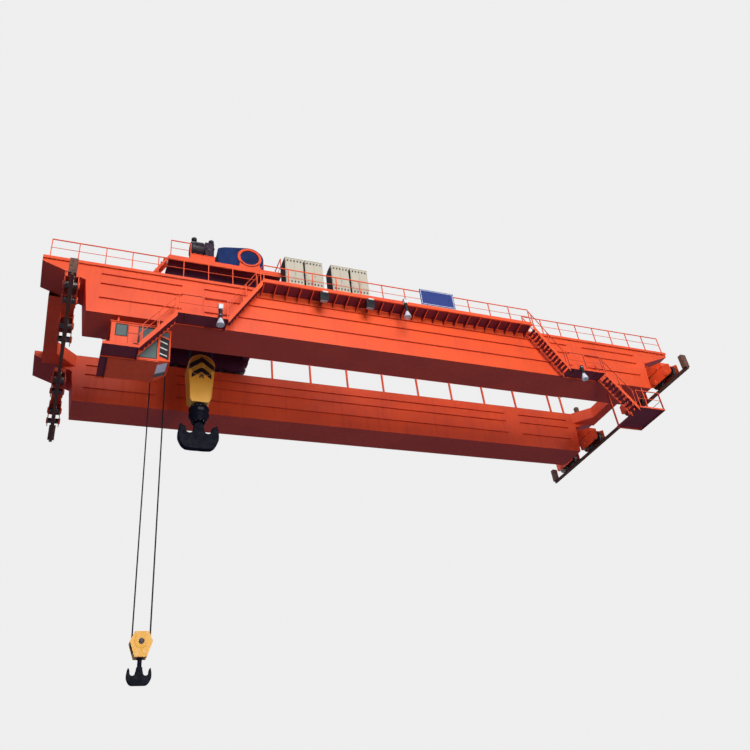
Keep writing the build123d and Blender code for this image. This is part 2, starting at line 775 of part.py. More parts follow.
def railing_across(x, start, end, base):
    """A straight railing across the span."""
    half = POST_SIZE / 2
    top_low = base + RAILING_HEIGHT - POST_SIZE
    middle_z = base + RAILING_HEIGHT / 2
    thin = half / 2
    top = block(x - half, x + half, start - half, end + half, top_low, base + RAILING_HEIGHT)
    pieces = [block(x - thin, x + thin, start, end, middle_z - thin, middle_z + thin)]
    for y in spaced(start, end, POST_PITCH):
        pieces.append(post(x, y, base, top_low, half))
    return join(top, pieces)


def walkway_near():
    """The long service walkway on the near girder: deck, toe board and brackets."""
    inner = -EDGE_Y
    outer = inner - WALKWAY_WIDTH
    deck = block(-WALKWAY_HALF, WALKWAY_HALF, outer, inner, WALKWAY_UNDER, WALKWAY_UNDER + DECK_PLATE)
    toe = block(
        -WALKWAY_HALF, WALKWAY_HALF, outer, outer + TOE_PLATE, WALKWAY_UNDER, WALKWAY_UNDER + TOE_BOARD
    )
    pieces = [toe]
    wall = -OUTER_Y
    points = [
        (outer + BRACKET_TIP, WALKWAY_UNDER),
        (outer + BRACKET_TIP, WALKWAY_UNDER - BRACKET_TIP),
        (wall - RIB_WIDTH, WALKWAY_UNDER - BRACKET_DEPTH),
        (wall, WALKWAY_UNDER - BRACKET_DEPTH),
        (wall, WALKWAY_UNDER),
    ]
    for x in spaced(-WALKWAY_HALF + BRACKET_END, WALKWAY_HALF - BRACKET_END, BRACKET_PITCH):
        pieces.append(plate_yz(points, x - BRACKET_PLATE / 2, x + BRACKET_PLATE / 2))
    return join(deck, pieces)


def walkway_railing_near():
    """The railing on the walkway's outer edge, from the deck up."""
    y = -EDGE_Y - WALKWAY_WIDTH + TOE_PLATE + POST_SIZE / 2
    half = WALKWAY_HALF - RAILING_INSET
    return railing_run(-half, half, y, WALKWAY_UNDER + DECK_PLATE)


def end_railing_right():
    """The railing on the near girder's top edge, at its right end."""
    y = -EDGE_Y + POST_SIZE / 2
    return railing_run(WALKWAY_HALF + END_RAILING_GAP, GIRDER_TIP_HALF - END_RAILING_INSET, y, GIRDER_DEPTH)


def stair(top_x, top_z, low_x, low_z, treads):
    """One flight along the span, with treads between two stringers and a handrail each side."""
    y0 = STAIR_Y
    y1 = y0 + STAIR_WIDTH
    run = low_x - top_x
    drop = top_z - low_z
    length = math.hypot(run, drop)
    along = run / length
    down = drop / length
    half = STAIR_STRINGER / 2
    off_x = down * half
    off_z = along * half
    over_x = along * STAIR_STRINGER * 2
    over_z = down * STAIR_STRINGER * 2
    outline = [
        (top_x + off_x - over_x, top_z - half + off_z + over_z),
        (low_x + off_x + over_x, low_z - half + off_z - over_z),
        (low_x - off_x + over_x, low_z - half - off_z - over_z),
        (top_x - off_x - over_x, top_z - half - off_z + over_z),
    ]
    space = block(top_x, low_x, y0, y1, low_z - STAIR_STRINGER * 2, top_z + STAIR_STRINGER)
    first = plate_xz(outline, y0, y0 + STAIR_PLATE) & space
    pieces = [plate_xz(outline, y1 - STAIR_PLATE, y1) & space]
    for i in range(1, treads + 1):
        share = i / (treads + 1)
        x = top_x + run * share
        z = top_z - half - drop * share
        pieces.append(
            block(
                x - TREAD_DEPTH / 2, x + TREAD_DEPTH / 2, y0, y1, z - TREAD_PLATE / 2, z + TREAD_PLATE / 2
            )
        )
    rail_low = STAIR_RAIL_HEIGHT - POST_SIZE
    rail = [
        (top_x, top_z + rail_low),
        (low_x, low_z + rail_low),
        (low_x, low_z + STAIR_RAIL_HEIGHT),
        (top_x, top_z + STAIR_RAIL_HEIGHT),
    ]
    post_half = POST_SIZE / 2
    for y in (y0 + post_half, y1 - post_half):
        pieces.append(plate_xz(rail, y - post_half, y + post_half))
        for share in STAIR_POSTS:
            z = top_z - drop * share
            pieces.append(post(top_x + run * share, y, z - half, z + rail_low, post_half))
    return join(first, pieces)


def upper_stair():
    """The right flight from the walkway down to the lower platform."""
    return stair(WALKWAY_HALF, WALKWAY_UNDER + DECK_PLATE, PLATFORM_INNER, 0, STAIR_TREADS)


def lower_stair():
    """The right flight from the lower platform down to the landing."""
    return stair(PLATFORM_OUTER, 0, LANDING_START, LANDING_LEVEL, LOWER_TREADS)


def tray(x0, x1, y0, y1, level):
    """A shallow deck tray with a frame round it."""
    deck = block(x0, x1, y0, y1, level - PLATFORM_DEPTH, level)
    skin = TRAY_SKIN
    return deck - block(
        x0 + skin, x1 - skin, y0 + skin, y1 - skin, level - PLATFORM_DEPTH - OVERCUT, level - skin
    )


def lower_platform():
    """The right lower platform at the foot of the girder's outer web."""
    outer = -OUTER_Y - PLATFORM_WIDTH
    deck = tray(PLATFORM_INNER, PLATFORM_OUTER, outer, -OUTER_Y, 0)
    y = outer + POST_SIZE / 2
    pieces = [railing_run(PLATFORM_INNER + RAILING_INSET, PLATFORM_OUTER - RAILING_INSET, y, 0)]
    arm = [
        (outer + PLATFORM_ARM_TIP, -TRAY_SKIN),
        (-OUTER_Y, PLATFORM_ARM_RISE),
        (-OUTER_Y, 0),
        (outer + PLATFORM_ARM_TIP, -PLATFORM_DEPTH),
    ]
    for x in (PLATFORM_INNER + PLATFORM_ARM_END, PLATFORM_OUTER - PLATFORM_ARM_END):
        pieces.append(plate_yz(arm, x - BRACKET_PLATE / 2, x + BRACKET_PLATE / 2))
    return join(deck, pieces)


def right_landing():
    """The landing hung under the near girder, level with the runway."""
    deck = tray(LANDING_START, LANDING_END, LANDING_OUTER_Y, LANDING_INNER_Y, LANDING_LEVEL)
    pieces = []
    low = LANDING_LEVEL - HANGER_SINK
    for x in (LANDING_START + HANGER_INSET, LANDING_END - HANGER_INSET):
        for y in (-OUTER_Y + LANDING_HANGER_INSET, LANDING_INNER_Y - LANDING_HANGER_INSET):
            pieces.append(post(x, y, low, 0, HANGER_SIZE / 2))
    rail_y = LANDING_OUTER_Y + POST_SIZE / 2
    rail_end = LANDING_END - RAILING_INSET
    pieces.append(railing_run(LANDING_START + RAILING_INSET, rail_end, rail_y, LANDING_LEVEL))
    pieces.append(
        railing_across(
            rail_end, LANDING_OUTER_Y + RAILING_INSET, LANDING_INNER_Y - RAILING_INSET, LANDING_LEVEL
        )
    )
    return join(deck, pieces)


def cab_platform():
    """The access platform along the cab and behind it, fixed to the cab's floor."""
    level = CAB_FLOOR - CAB_PLATFORM_DROP
    x0 = CAB_BACK - CAB_PLATFORM_BACK
    x1 = -LANDING_START
    kerb = level + CAB_PLATFORM_KERB
    riser = x1 - CAB_STEP_PLATE
    stair_far = STAIR_Y + STAIR_WIDTH
    pieces = [
        tray(x0, CAB_BACK, CAB_NEAR, CAB_FAR, level),
        block(x0, x1, LANDING_OUTER_Y, LANDING_OUTER_Y + TOE_PLATE, level, kerb),
        block(CAB_BACK, x1, CAB_NEAR - TRAY_SKIN, CAB_NEAR, level, kerb),
        block(x1 - CAB_STEP_DEPTH, x1, STAIR_Y, stair_far, LANDING_LEVEL - CAB_STEP_PLATE, LANDING_LEVEL),
        block(riser, x1, STAIR_Y, stair_far, level, LANDING_LEVEL),
    ]
    return join(tray(x0, x1, LANDING_OUTER_Y, CAB_NEAR, level), pieces)


# Driver's cab
def cab_profile(inset, stretch):
    """The cab's side outline: a belly that slants back to the floor at the front."""
    corner = CAB_CORNER - inset
    foot = [(corner, CAB_FLOOR - stretch)] if stretch else []
    return [
        (CAB_BACK + inset, CAB_FLOOR - stretch),
        *foot,
        (corner, CAB_FLOOR),
        (CAB_FRONT - inset, CAB_SILL),
        (CAB_FRONT - inset, CAB_TOP + stretch),
        (CAB_BACK + inset, CAB_TOP + stretch),
    ]


def cab_plan(inset):
    """The cab's plan, with its two front corners turned in."""
    near = CAB_NEAR + inset
    far = CAB_FAR - inset
    return [
        (CAB_BACK + inset, near),
        (CAB_CORNER, near),
        (CAB_FRONT - inset, near + CAB_SIDE_STEP),
        (CAB_FRONT - inset, far - CAB_SIDE_STEP),
        (CAB_CORNER, far),
        (CAB_BACK + inset, far),
    ]


def cab_solid(inset, stretch):
    """The cab's closed form, drawn in by inset and run on by stretch above and below."""
    side = plate_xz(cab_profile(inset, stretch), CAB_NEAR - OVERCUT, CAB_FAR + OVERCUT)
    return side & plate_xy(cab_plan(inset), CAB_FLOOR - stretch - OVERCUT, CAB_TOP + stretch + OVERCUT)


def cab_windows():
    """Blocks that cut the cab's windows and door: name, then the space through the wall."""
    near_in = CAB_NEAR - OVERCUT
    near_out = CAB_NEAR + CAB_CUT
    small_x = CAB_BACK + SMALL_WINDOW_PLACE
    middle_x = (CAB_CORNER + CAB_FRONT) / 2
    corner_x = middle_x + CORNER_WINDOW_FRONT
    right = CAB_CORNER - WINDOW_POST
    high = CAB_FLOOR + WINDOW_HIGH
    front_low = CAB_FLOOR + FRONT_WINDOW_LOW
    front_high = CAB_FLOOR + FRONT_WINDOW_HIGH
    front_near = CAB_NEAR + FRONT_WINDOW_NEAR
    front_far = CAB_FAR - FRONT_WINDOW_FAR
    door_far = CAB_FAR - DOOR_FAR
    return {
        "small": block(
            small_x,
            small_x + SMALL_WINDOW_WIDTH,
            near_in,
            near_out,
            CAB_FLOOR + SMALL_WINDOW_LOW,
            CAB_FLOOR + SMALL_WINDOW_HIGH,
        ),
        "side": block(
            CAB_BACK + SIDE_WINDOW_PLACE, right, near_in, near_out, CAB_FLOOR + SIDE_WINDOW_LOW, high
        ),
        "corner": block(
            middle_x - CORNER_WINDOW_BACK,
            corner_x,
            near_in,
            front_near - OVERCUT * 2,
            front_low,
            front_high,
        ),
        "front": block(
            CAB_FRONT - CAB_CUT, CAB_FRONT + OVERCUT, front_near, front_far, front_low, front_high
        ),
        "far": block(
            CAB_BACK + FAR_WINDOW_PLACE,
            right,
            CAB_FAR - CAB_CUT,
            CAB_FAR + OVERCUT,
            CAB_FLOOR + FAR_WINDOW_LOW,
            high,
        ),
        "door": block(
            CAB_BACK - OVERCUT,
            CAB_BACK + CAB_CUT,
            CAB_NEAR + DOOR_NEAR,
            door_far,
            CAB_FLOOR + DOOR_LOW,
            CAB_FLOOR + DOOR_HIGH,
        ),
    }


def belly_window():
    """The space of the slanting window under the cab's nose."""
    slope = [
        (CAB_CORNER + BELLY_BACK, CAB_FLOOR - BELLY_DROP),
        (CAB_FRONT - BELLY_BACK, CAB_SILL - BELLY_DROP),
        (CAB_FRONT - CAB_CUT, CAB_SILL + OVERCUT * 2),
        (CAB_CORNER - BELLY_BACK / 2, CAB_FLOOR + CAB_WALL + OVERCUT),
    ]
    return plate_xz(slope, CAB_NEAR + BELLY_NEAR, CAB_FAR - FRONT_WINDOW_FAR)


def cab_walls():
    """The cab's sheet walls with windows, the door and the belly window cut through."""
    shell = cab_solid(0, 0) - cab_solid(CAB_WALL, CAB_WALL + OVERCUT)
    for space in cab_windows().values():
        shell = shell - space
    return shell - belly_window()


def cab_floor():
    """The floor plate that the walls stand on."""
    return block(CAB_BACK, CAB_CORNER, CAB_NEAR, CAB_FAR, CAB_FLOOR - CAB_SHEET, CAB_FLOOR)


def cab_roof():
    """The roof plate and the four hangers that carry the cab on the girder."""
    roof = plate_xy(cab_plan(-CAB_EAVES), CAB_TOP, CAB_TOP + CAB_SHEET)
    hangers = []
    for x in (CAB_BACK + CAB_HANGER_BACK, CAB_CORNER - CAB_HANGER_FRONT):
        for y in (CAB_NEAR + CAB_HANGER_SIDE, CAB_FAR - CAB_HANGER_SIDE):
            hangers.append(post(x, y, CAB_TOP + CAB_SHEET, 0, HANGER_SIZE / 2))
    return join(roof, hangers)


def cab_glass():
    """The fixed panes, set in the middle of the walls."""
    inset = CAB_WALL / 2
    sheet = cab_solid(inset - CAB_GLASS / 2, 0) - cab_solid(inset + CAB_GLASS / 2, CAB_WALL)
    windows = cab_windows()
    panes = []
    for name in ("small", "side", "corner", "front", "far"):
        panes.extend((sheet & windows[name]).solids())
    panes.extend((sheet & belly_window()).solids())
    return panes


# Things carried by the bridge
def cabinets():
    """Four electric cabinets in a row along the walkway, each on its own plinth."""
    made = []
    case_low = GIRDER_DEPTH + CABINET_PLINTH
    case_high = case_low + CABINET_HEIGHT
    y1 = -EDGE_Y + CABINET_ON_EDGE
    y0 = y1 - CABINET_DEPTH
    lip = CABINET_LID_LIP
    inset = CABINET_PLINTH_INSET
    for place in CABINET_PLACES:
        x = -WALKWAY_HALF + place
        x1 = x + CABINET_WIDTH
        case = block(x, x1, y0, y1, case_low, case_high)
        lid = block(x - lip, x1 + lip, y0 - lip, y1 + lip, case_high, case_high + CABINET_LID)
        near = -EDGE_Y + CABINET_PLINTH_NEAR
        foot = block(x + inset, x1 - inset, near, y1 - CABINET_PLINTH_FAR, GIRDER_DEPTH, case_low)
        made.append(join(case, [lid, foot]))
    return made


def notice_board():
    """The plain board fixed to the outside of the walkway railing."""
    y = -EDGE_Y - WALKWAY_WIDTH + TOE_PLATE
    low = GIRDER_DEPTH - BOARD_DROP
    return block(BOARD_LEFT, BOARD_LEFT + BOARD_WIDTH, y - BOARD_SHEET, y, low, low + BOARD_HEIGHT)


def bell_lamp(x, edge, top, arm_low):
    """One bell lamp on an arm beyond an edge: ballast tube and reflector."""
    y = edge - LAMP_REACH
    bell_high = top - BALLAST_HEIGHT
    half = LAMP_ARM / 2
    arm = block(x - half, x + half, y, edge, arm_low, arm_low + LAMP_ARM)
    ballast = rod(x, y, bell_high, top, BALLAST_RADIUS)
    bell = cone(x, y, bell_high - BELL_HEIGHT, bell_high, BELL_RADIUS, BALLAST_RADIUS)
    return join(ballast, [arm, bell])


def flat_lamp(x, y):
    """One flat lamp under the walkway, on its own stem."""
    low = WALKWAY_UNDER - FLAT_LAMP_DROP
    half = FLAT_LAMP_LENGTH / 2
    hood = block(x - half, x + half, y - FLAT_LAMP_NEAR, y + FLAT_LAMP_FAR, low - FLAT_LAMP_HEIGHT, low)
    thin = FLAT_LAMP_STEM / 2
    return join(hood, [block(x - thin, x + thin, y, y + FLAT_LAMP_STEM, low, WALKWAY_UNDER)])


def walkway_lamps():
    """The three bell lamps and the two flat lamps along the near walkway and platforms."""
    walkway_edge = -EDGE_Y - WALKWAY_WIDTH
    platform_edge = -OUTER_Y - PLATFORM_WIDTH
    left_x = -PLATFORM_INNER - LAMP_LEFT_PLACE
    left = bell_lamp(left_x, platform_edge, LEFT_LAMP_RISE, -LAMP_ARM)
    half = LAMP_BOX_WIDTH / 2
    y = platform_edge - LAMP_REACH
    box_high = LEFT_LAMP_RISE + LAMP_BOX_HEIGHT
    gear_box = block(left_x - half, left_x + half, y - half, y + half, LEFT_LAMP_RISE, box_high)
    bells = [
        join(left, [gear_box]),
        bell_lamp(
            LAMP_ON_WALKWAY, walkway_edge, WALKWAY_UNDER + WALKWAY_LAMP_RISE, WALKWAY_UNDER + LAMP_ARM
        ),
        bell_lamp(PLATFORM_INNER + LAMP_RIGHT_PLACE, platform_edge, RIGHT_LAMP_RISE, -LAMP_ARM),
    ]
    return bells + [
        flat_lamp(-WALKWAY_HALF + place, walkway_edge + FLAT_LAMP_EDGE) for place in FLAT_LAMP_PLACES
    ]


# Trolley
def trolley_wheel_stations():
    """The wheels' places along the trolley, two near each end."""
    left = [TROLLEY_LEFT + place for place in TROLLEY_WHEEL_PLACES]
    return left + [TROLLEY_RIGHT - place for place in TROLLEY_WHEEL_PLACES]


def axle_plates(y, low):
    """The pairs of plates that hold the wheels under one wheel beam."""
    plates = []
    bottom = TROLLEY_AXLE_Z - AXLE_PLATE_DROP
    for x in trolley_wheel_stations():
        for cheek in (-1, 1):
            inner = y + cheek * AXLE_PLATE_GAP / 2
            outer = inner + cheek * AXLE_PLATE
            plates.append(
                block(
                    x - AXLE_PLATE_HALF,
                    x + AXLE_PLATE_HALF,
                    min(inner, outer),
                    max(inner, outer),
                    bottom,
                    low,
                )
            )
    return plates


def trolley_frame():
    """Two wheel beams joined by cross beams, with axle plates at the wheels."""
    y = TROLLEY_GAUGE / 2
    low = TROLLEY_FRAME_BOTTOM
    high = TROLLEY_FRAME_TOP
    half = TROLLEY_BEAM_WIDTH / 2
    left = TROLLEY_LEFT + TROLLEY_FRAME_INSET
    right = TROLLEY_RIGHT - TROLLEY_FRAME_INSET
    first = block(left, right, -y - half, -y + half, low, high)
    pieces = [block(left, right, y - half, y + half, low, high)]
    cross_left = AUX_HOOK_X + AUX_SHEAVE_RADIUS + AUX_BEAM_CLEAR
    for x in (cross_left, MAIN_HOOK_X + CROSS_BEAM_PLACE, right - CROSS_BEAM):
        pieces.append(block(x, x + CROSS_BEAM, -y, y, low + CROSS_BEAM_RISE, high))
    arm_tip = AUX_HOOK_X - AUX_SHEAVE_RADIUS - AUX_ARM_TIP
    for side in (-1, 1):
        inner = side * AUX_ARM_Y
        outer = side * (AUX_ARM_Y + AUX_ARM_WIDTH)
        pieces.append(
            block(arm_tip, cross_left, min(inner, outer), max(inner, outer), high - CROSS_BEAM, high)
        )
        pieces.extend(axle_plates(side * y, low))
    return join(first, pieces)


def trolley_wheels():
    """Eight flanged wheels, each seated between its two axle plates."""
    made = []
    head = (TROLLEY_RAIL_HEAD + WHEEL_SIDE_PLAY) / 2
    hub = AXLE_PLATE_GAP / 2
    rim = head + TROLLEY_FLANGE_PLATE
    z = TROLLEY_AXLE_Z
    for x in trolley_wheel_stations():
        for side in (-1, 1):
            y = side * TROLLEY_GAUGE / 2
            tread = rod_y(x, z, y - head, y + head, TROLLEY_WHEEL_RADIUS)
            rims = [
                rod_y(x, z, y - rim, y - head, TROLLEY_FLANGE_RADIUS),
                rod_y(x, z, y + head, y + rim, TROLLEY_FLANGE_RADIUS),
                rod_y(x, z, y - hub, y + hub, WHEEL_HUB),
            ]
            made.append(join(tread, rims))
    return made


def trolley_deck():
    """The deck plate with the rope openings, and a deep edge band along both sides."""
    left = TROLLEY_LEFT
    right = TROLLEY_RIGHT
    half = TROLLEY_HALF_WIDTH
    top = DECK_TOP
    deck = block(left, right, -half, half, TROLLEY_FRAME_TOP, top)
    low = TROLLEY_FRAME_TOP - OVERCUT
    high = top + OVERCUT
    main_half = SHEAVE_RADIUS + SLOT_CLEAR
    deck = deck - block(MAIN_HOOK_X - main_half, MAIN_HOOK_X + main_half, -MAIN_SLOT, MAIN_SLOT, low, high)
    aux_right = AUX_HOOK_X + AUX_SHEAVE_RADIUS + SLOT_CLEAR
    deck = deck - block(left - OVERCUT, aux_right, -AUX_ARM_Y, AUX_ARM_Y, low, high)
    band_low = top - TROLLEY_EDGE
    bands = [
        block(left, right, -half, -half + TROLLEY_EDGE_PLATE, band_low, top),
        block(left, right, half - TROLLEY_EDGE_PLATE, half, band_low, top),
    ]
    return join(deck, bands)


def trolley_railing():
    """Railings along the deck's far side and both ends, and the near side's left part."""
    inset = TROLLEY_RAILING_INSET
    near = -TROLLEY_HALF_WIDTH + inset
    far = TROLLEY_HALF_WIDTH - inset
    left = TROLLEY_LEFT + inset
    right = TROLLEY_RIGHT - inset
    run = railing_run(left, right, far, DECK_TOP)
    left_end = railing_across(left, AUX_ARM_Y + TROLLEY_RAILING_GAP, far, DECK_TOP)
    right_end = railing_across(right, near, far, DECK_TOP)
    near_run = railing_run(left, left + TROLLEY_NEAR_RAILING, near, DECK_TOP)
    return [join(run, [left_end, right_end]), near_run]


def trolley_stair():
    """The short flight at the trolley's left end, hung from the deck."""
    top_x = TROLLEY_LEFT - STAIR_HANG_GAP
    low_x = top_x - TROLLEY_STAIR_RUN
    y0 = -TROLLEY_HALF_WIDTH
    y1 = y0 + TROLLEY_STAIR_WIDTH
    foot_z = GIRDER_DEPTH + TROLLEY_STAIR_CLEAR
    outline = [
        (top_x, DECK_TOP),
        (top_x, DECK_TOP - TROLLEY_STAIR_DEPTH),
        (low_x, foot_z),
        (low_x - TROLLEY_STAIR_FOOT, foot_z),
    ]
    pieces = [plate_xz(outline, y1 - STAIR_PLATE, y1)]
    top_tread = DECK_TOP - TROLLEY_TREAD_DROP
    for i in range(1, TROLLEY_STAIR_TREADS + 1):
        share = i / (TROLLEY_STAIR_TREADS + 1)
        x = top_x - TROLLEY_TREAD_DROP - TROLLEY_STAIR_RUN * share
        z = top_tread - (top_tread - GIRDER_DEPTH) * share
        pieces.append(block(x - TREAD_DEPTH / 2, x + TREAD_DEPTH / 2, y0, y1, z - TREAD_PLATE, z))
    lug_high = DECK_TOP - STAIR_INSET
    pieces.append(
        block(top_x - TROLLEY_STAIR_LUG, TROLLEY_LEFT, y0, y1, DECK_TOP - TROLLEY_STAIR_DEPTH, lug_high)
    )
    return join(plate_xz(outline, y0, y0 + STAIR_PLATE), pieces)


def drum_pedestals():
    """The two bearing pedestals that carry the main drum."""
    outline = [
        (DRUM_X - PEDESTAL_FOOT, DECK_TOP),
        (DRUM_X + PEDESTAL_FOOT, DECK_TOP),
        (DRUM_X + PEDESTAL_CAP, DRUM_Z),
        (DRUM_X - PEDESTAL_CAP, DRUM_Z),
    ]
    inner = DRUM_HALF + DRUM_FLANGE
    outer = inner + PEDESTAL_PLATE
    made = []
    for y0, y1 in ((-outer, -inner), (inner, outer)):
        made.append(join(plate_xz(outline, y0, y1), [rod_y(DRUM_X, DRUM_Z, y0, y1, PEDESTAL_CAP)]))
    return made


def main_drum():
    """The main rope drum, with flanges at its ends and middle and a stub shaft at each end."""
    end = DRUM_HALF + DRUM_FLANGE
    barrel = rod_y(DRUM_X, DRUM_Z, -DRUM_HALF, DRUM_HALF, DRUM_BARREL)
    rims = [
        rod_y(DRUM_X, DRUM_Z, -DRUM_HALF, -DRUM_HALF + DRUM_FLANGE, DRUM_RADIUS),
        rod_y(DRUM_X, DRUM_Z, DRUM_HALF - DRUM_FLANGE, DRUM_HALF, DRUM_RADIUS),
        rod_y(DRUM_X, DRUM_Z, -DRUM_FLANGE, DRUM_FLANGE, DRUM_RADIUS),
        rod_y(DRUM_X, DRUM_Z, -end, end, DRUM_SHAFT),
    ]
    return join(barrel, rims)


def cover_form(inset, y0, y1):
    """The cover's closed form: round over the drum, flat over the sheaves beside it."""
    radius = COVER_RADIUS - inset
    left = COVER_LEFT + inset
    top = DRUM_Z + radius
    round_part = rod_y(DRUM_X, DRUM_Z, y0, y1, radius)
    skirt = block(DRUM_X - radius, DRUM_X + radius, y0, y1, DECK_TOP, DRUM_Z)
    shoulder = [
        (left, DECK_TOP),
        (left, top - COVER_SHOULDER),
        (left + COVER_SHOULDER, top - COVER_SHOULDER_DROP),
        (DRUM_X, top),
        (DRUM_X, DECK_TOP),
    ]
    hood_half = HOOD_HALF - inset
    hood_high = DECK_TOP + HOOD_RISE - inset
    hood = block(HOOD_LEFT + inset, left + OVERCUT, -hood_half, hood_half, DECK_TOP, hood_high)
    return join(round_part, [skirt, plate_xz(shoulder, y0, y1), hood])


def drum_cover():
    """The fabric cover over the drum and the upper sheaves, open underneath."""
    outer = cover_form(0, COVER_NEAR, COVER_FAR)
    inner = cover_form(COVER_SHEET, COVER_NEAR + COVER_SHEET, COVER_FAR - COVER_SHEET)
    cut = block(
        HOOD_LEFT - OVERCUT,
        DRUM_X + COVER_RADIUS + OVERCUT,
        COVER_NEAR - OVERCUT,
        COVER_FAR + OVERCUT,
        DECK_TOP - COVER_RADIUS,
        DECK_TOP,
    )
    return (outer - inner) - cut


def cover_ring():
    """The round guard in front of the cover's near end, on its own foot."""
    y1 = COVER_NEAR
    y0 = y1 - RING_PLATE
    opening = rod_y(DRUM_X, DRUM_Z, y0 - OVERCUT, y1 + OVERCUT, RING_INNER)
    foot = [
        (DRUM_X - RING_OUTER, DECK_TOP),
        (DRUM_X + RING_OUTER, DECK_TOP),
        (DRUM_X + RING_FOOT_HALF, DRUM_Z - RING_FOOT_DROP),
        (DRUM_X - RING_FOOT_HALF, DRUM_Z - RING_FOOT_DROP),
    ]
    ring = rod_y(DRUM_X, DRUM_Z, y0, y1, RING_OUTER)
    return join(ring, [plate_xz(foot, y0, y1)]) - opening


def winch_set(x, y):
    """A hoist motor and its gear case in line along the span, on one base box."""
    base_top = DECK_TOP + WINCH_BASE
    axis = base_top + WINCH_MOTOR_RADIUS + WINCH_MOTOR_CLEAR
    side = WINCH_FRAME_SIDE
    frame = block(x - WINCH_FRAME_HALF, x + WINCH_FRAME_HALF, y - side, y + side, DECK_TOP, base_top)
    side = WINCH_CASE_SIDE
    case_high = axis + WINCH_CASE_RISE
    case = block(x + WINCH_CASE_START, x + WINCH_CASE_END, y - side, y + side, base_top, case_high)
    motor = rod_x(y, axis, x - WINCH_MOTOR_START, x + WINCH_MOTOR_END, WINCH_MOTOR_RADIUS)
    side = WINCH_SEAT_SIDE
    seat = block(x - WINCH_SEAT_START, x, y - side, y + side, base_top, axis)
    pieces = [case, motor, seat]
    for place, low in ((-WINCH_CAP_BACK, axis), (WINCH_CAP_FRONT, case_high)):
        pieces.append(rod(x + place, y, low, WINCH_CAP_LOW, WINCH_STEM_RADIUS))
        pieces.append(rod(x + place, y, WINCH_CAP_LOW, WINCH_CAP_LOW + WINCH_CAP_HEIGHT, WINCH_CAP_RADIUS))
    return join(frame, pieces)


# Rope work
def sheave_stack(x, z, radius, fall, count, pitch, rope_radius, half_pin, pin_radius):
    """Sheaves side by side on one pin, each with a groove just clear of its rope."""
    root = fall - rope_radius - GROOVE_SLACK
    groove = rope_radius + GROOVE_SIDE
    rim = groove + SHEAVE_RIM
    parts = []
    for i in range(count):
        y = (i - (count - 1) / 2) * pitch
        parts.append(rod_y(x, z, y - rim, y + rim, root))
        parts.append(rod_y(x, z, y - rim, y - groove, radius))
        parts.append(rod_y(x, z, y + groove, y + rim, radius))
    return join(rod_y(x, z, -half_pin, half_pin, pin_radius), parts)


def main_stack(z, half_pin):
    """The main hoist's sheaves on their pin at one height."""
    x = MAIN_HOOK_X
    return sheave_stack(
        x, z, SHEAVE_RADIUS, MAIN_FALL_X, MAIN_SHEAVES, MAIN_PITCH, ROPE_RADIUS, half_pin, SHEAVE_PIN
    )


def aux_stack(z, half_pin):
    """The auxiliary hoist's sheaves on their pin at one height."""
    x = AUX_HOOK_X
    radius = AUX_SHEAVE_RADIUS
    return sheave_stack(
        x, z, radius, AUX_FALL_X, AUX_SHEAVES, AUX_PITCH, AUX_ROPE_RADIUS, half_pin, AUX_SHEAVE_PIN
    )


def rope_falls(x, fall, count, pitch, radius, low, high):
    """The straight rope falls on both sides of a block's sheaves."""
    made = []
    for i in range(count):
        y = (i - (count - 1) / 2) * pitch
        for side in (-1, 1):
            made.append(rod(x + side * fall, y, low, high, radius))
    return made


def main_upper_sheaves():
    """The fixed sheaves over the deck opening, on two bearing plates."""
    inner = MAIN_SLOT + SHEAVE_SIDE_GAP
    outer = inner + BEARING_PLATE
    x = MAIN_HOOK_X
    outline = [
        (x - BEARING_FOOT, DECK_TOP),
        (x + BEARING_FOOT, DECK_TOP),
        (x + BEARING_TOP, UPPER_AXIS + BEARING_RISE),
        (x - BEARING_TOP, UPPER_AXIS + BEARING_RISE),
    ]
    plates = [plate_xz(outline, y0, y1) for y0, y1 in ((-outer, -inner), (inner, outer))]
    return [main_stack(UPPER_AXIS, inner)] + plates


def block_housing():
    """The main block's yellow housing, open at the top for the ropes."""
    x = MAIN_HOOK_X
    half = BLOCK_WIDTH / 2
    inner_y = BLOCK_HALF_PIN
    outer_y = inner_y + BLOCK_PLATE
    shoulder = BLOCK_BOTTOM + BLOCK_CHAMFER_RISE
    outline = [
        (x - half + BLOCK_CHAMFER, BLOCK_BOTTOM),
        (x + half - BLOCK_CHAMFER, BLOCK_BOTTOM),
        (x + half, shoulder),
        (x + BLOCK_TOP_RADIUS, BLOCK_AXIS),
        (x - BLOCK_TOP_RADIUS, BLOCK_AXIS),
        (x - half, shoulder),
    ]
    body = join(
        plate_xz(outline, -outer_y, outer_y), [rod_y(x, BLOCK_AXIS, -outer_y, outer_y, BLOCK_TOP_RADIUS)]
    )
    clear = SHEAVE_RADIUS + BLOCK_SHEAVE_CLEAR
    low = BLOCK_AXIS - SHEAVE_RADIUS - BLOCK_WELL
    high = BLOCK_AXIS + BLOCK_TOP_RADIUS + OVERCUT
    wedge = [
        (-outer_y, high),
        (-outer_y, BLOCK_TAPER),
        (-BLOCK_FOOT_HALF, BLOCK_BOTTOM),
        (BLOCK_FOOT_HALF, BLOCK_BOTTOM),
        (outer_y, BLOCK_TAPER),
        (outer_y, high),
    ]
    reach = BLOCK_TOP_RADIUS + OVERCUT
    body = body & plate_yz(wedge, x - reach, x + reach)
    return body - block(x - clear, x + clear, -inner_y, inner_y, low, high)


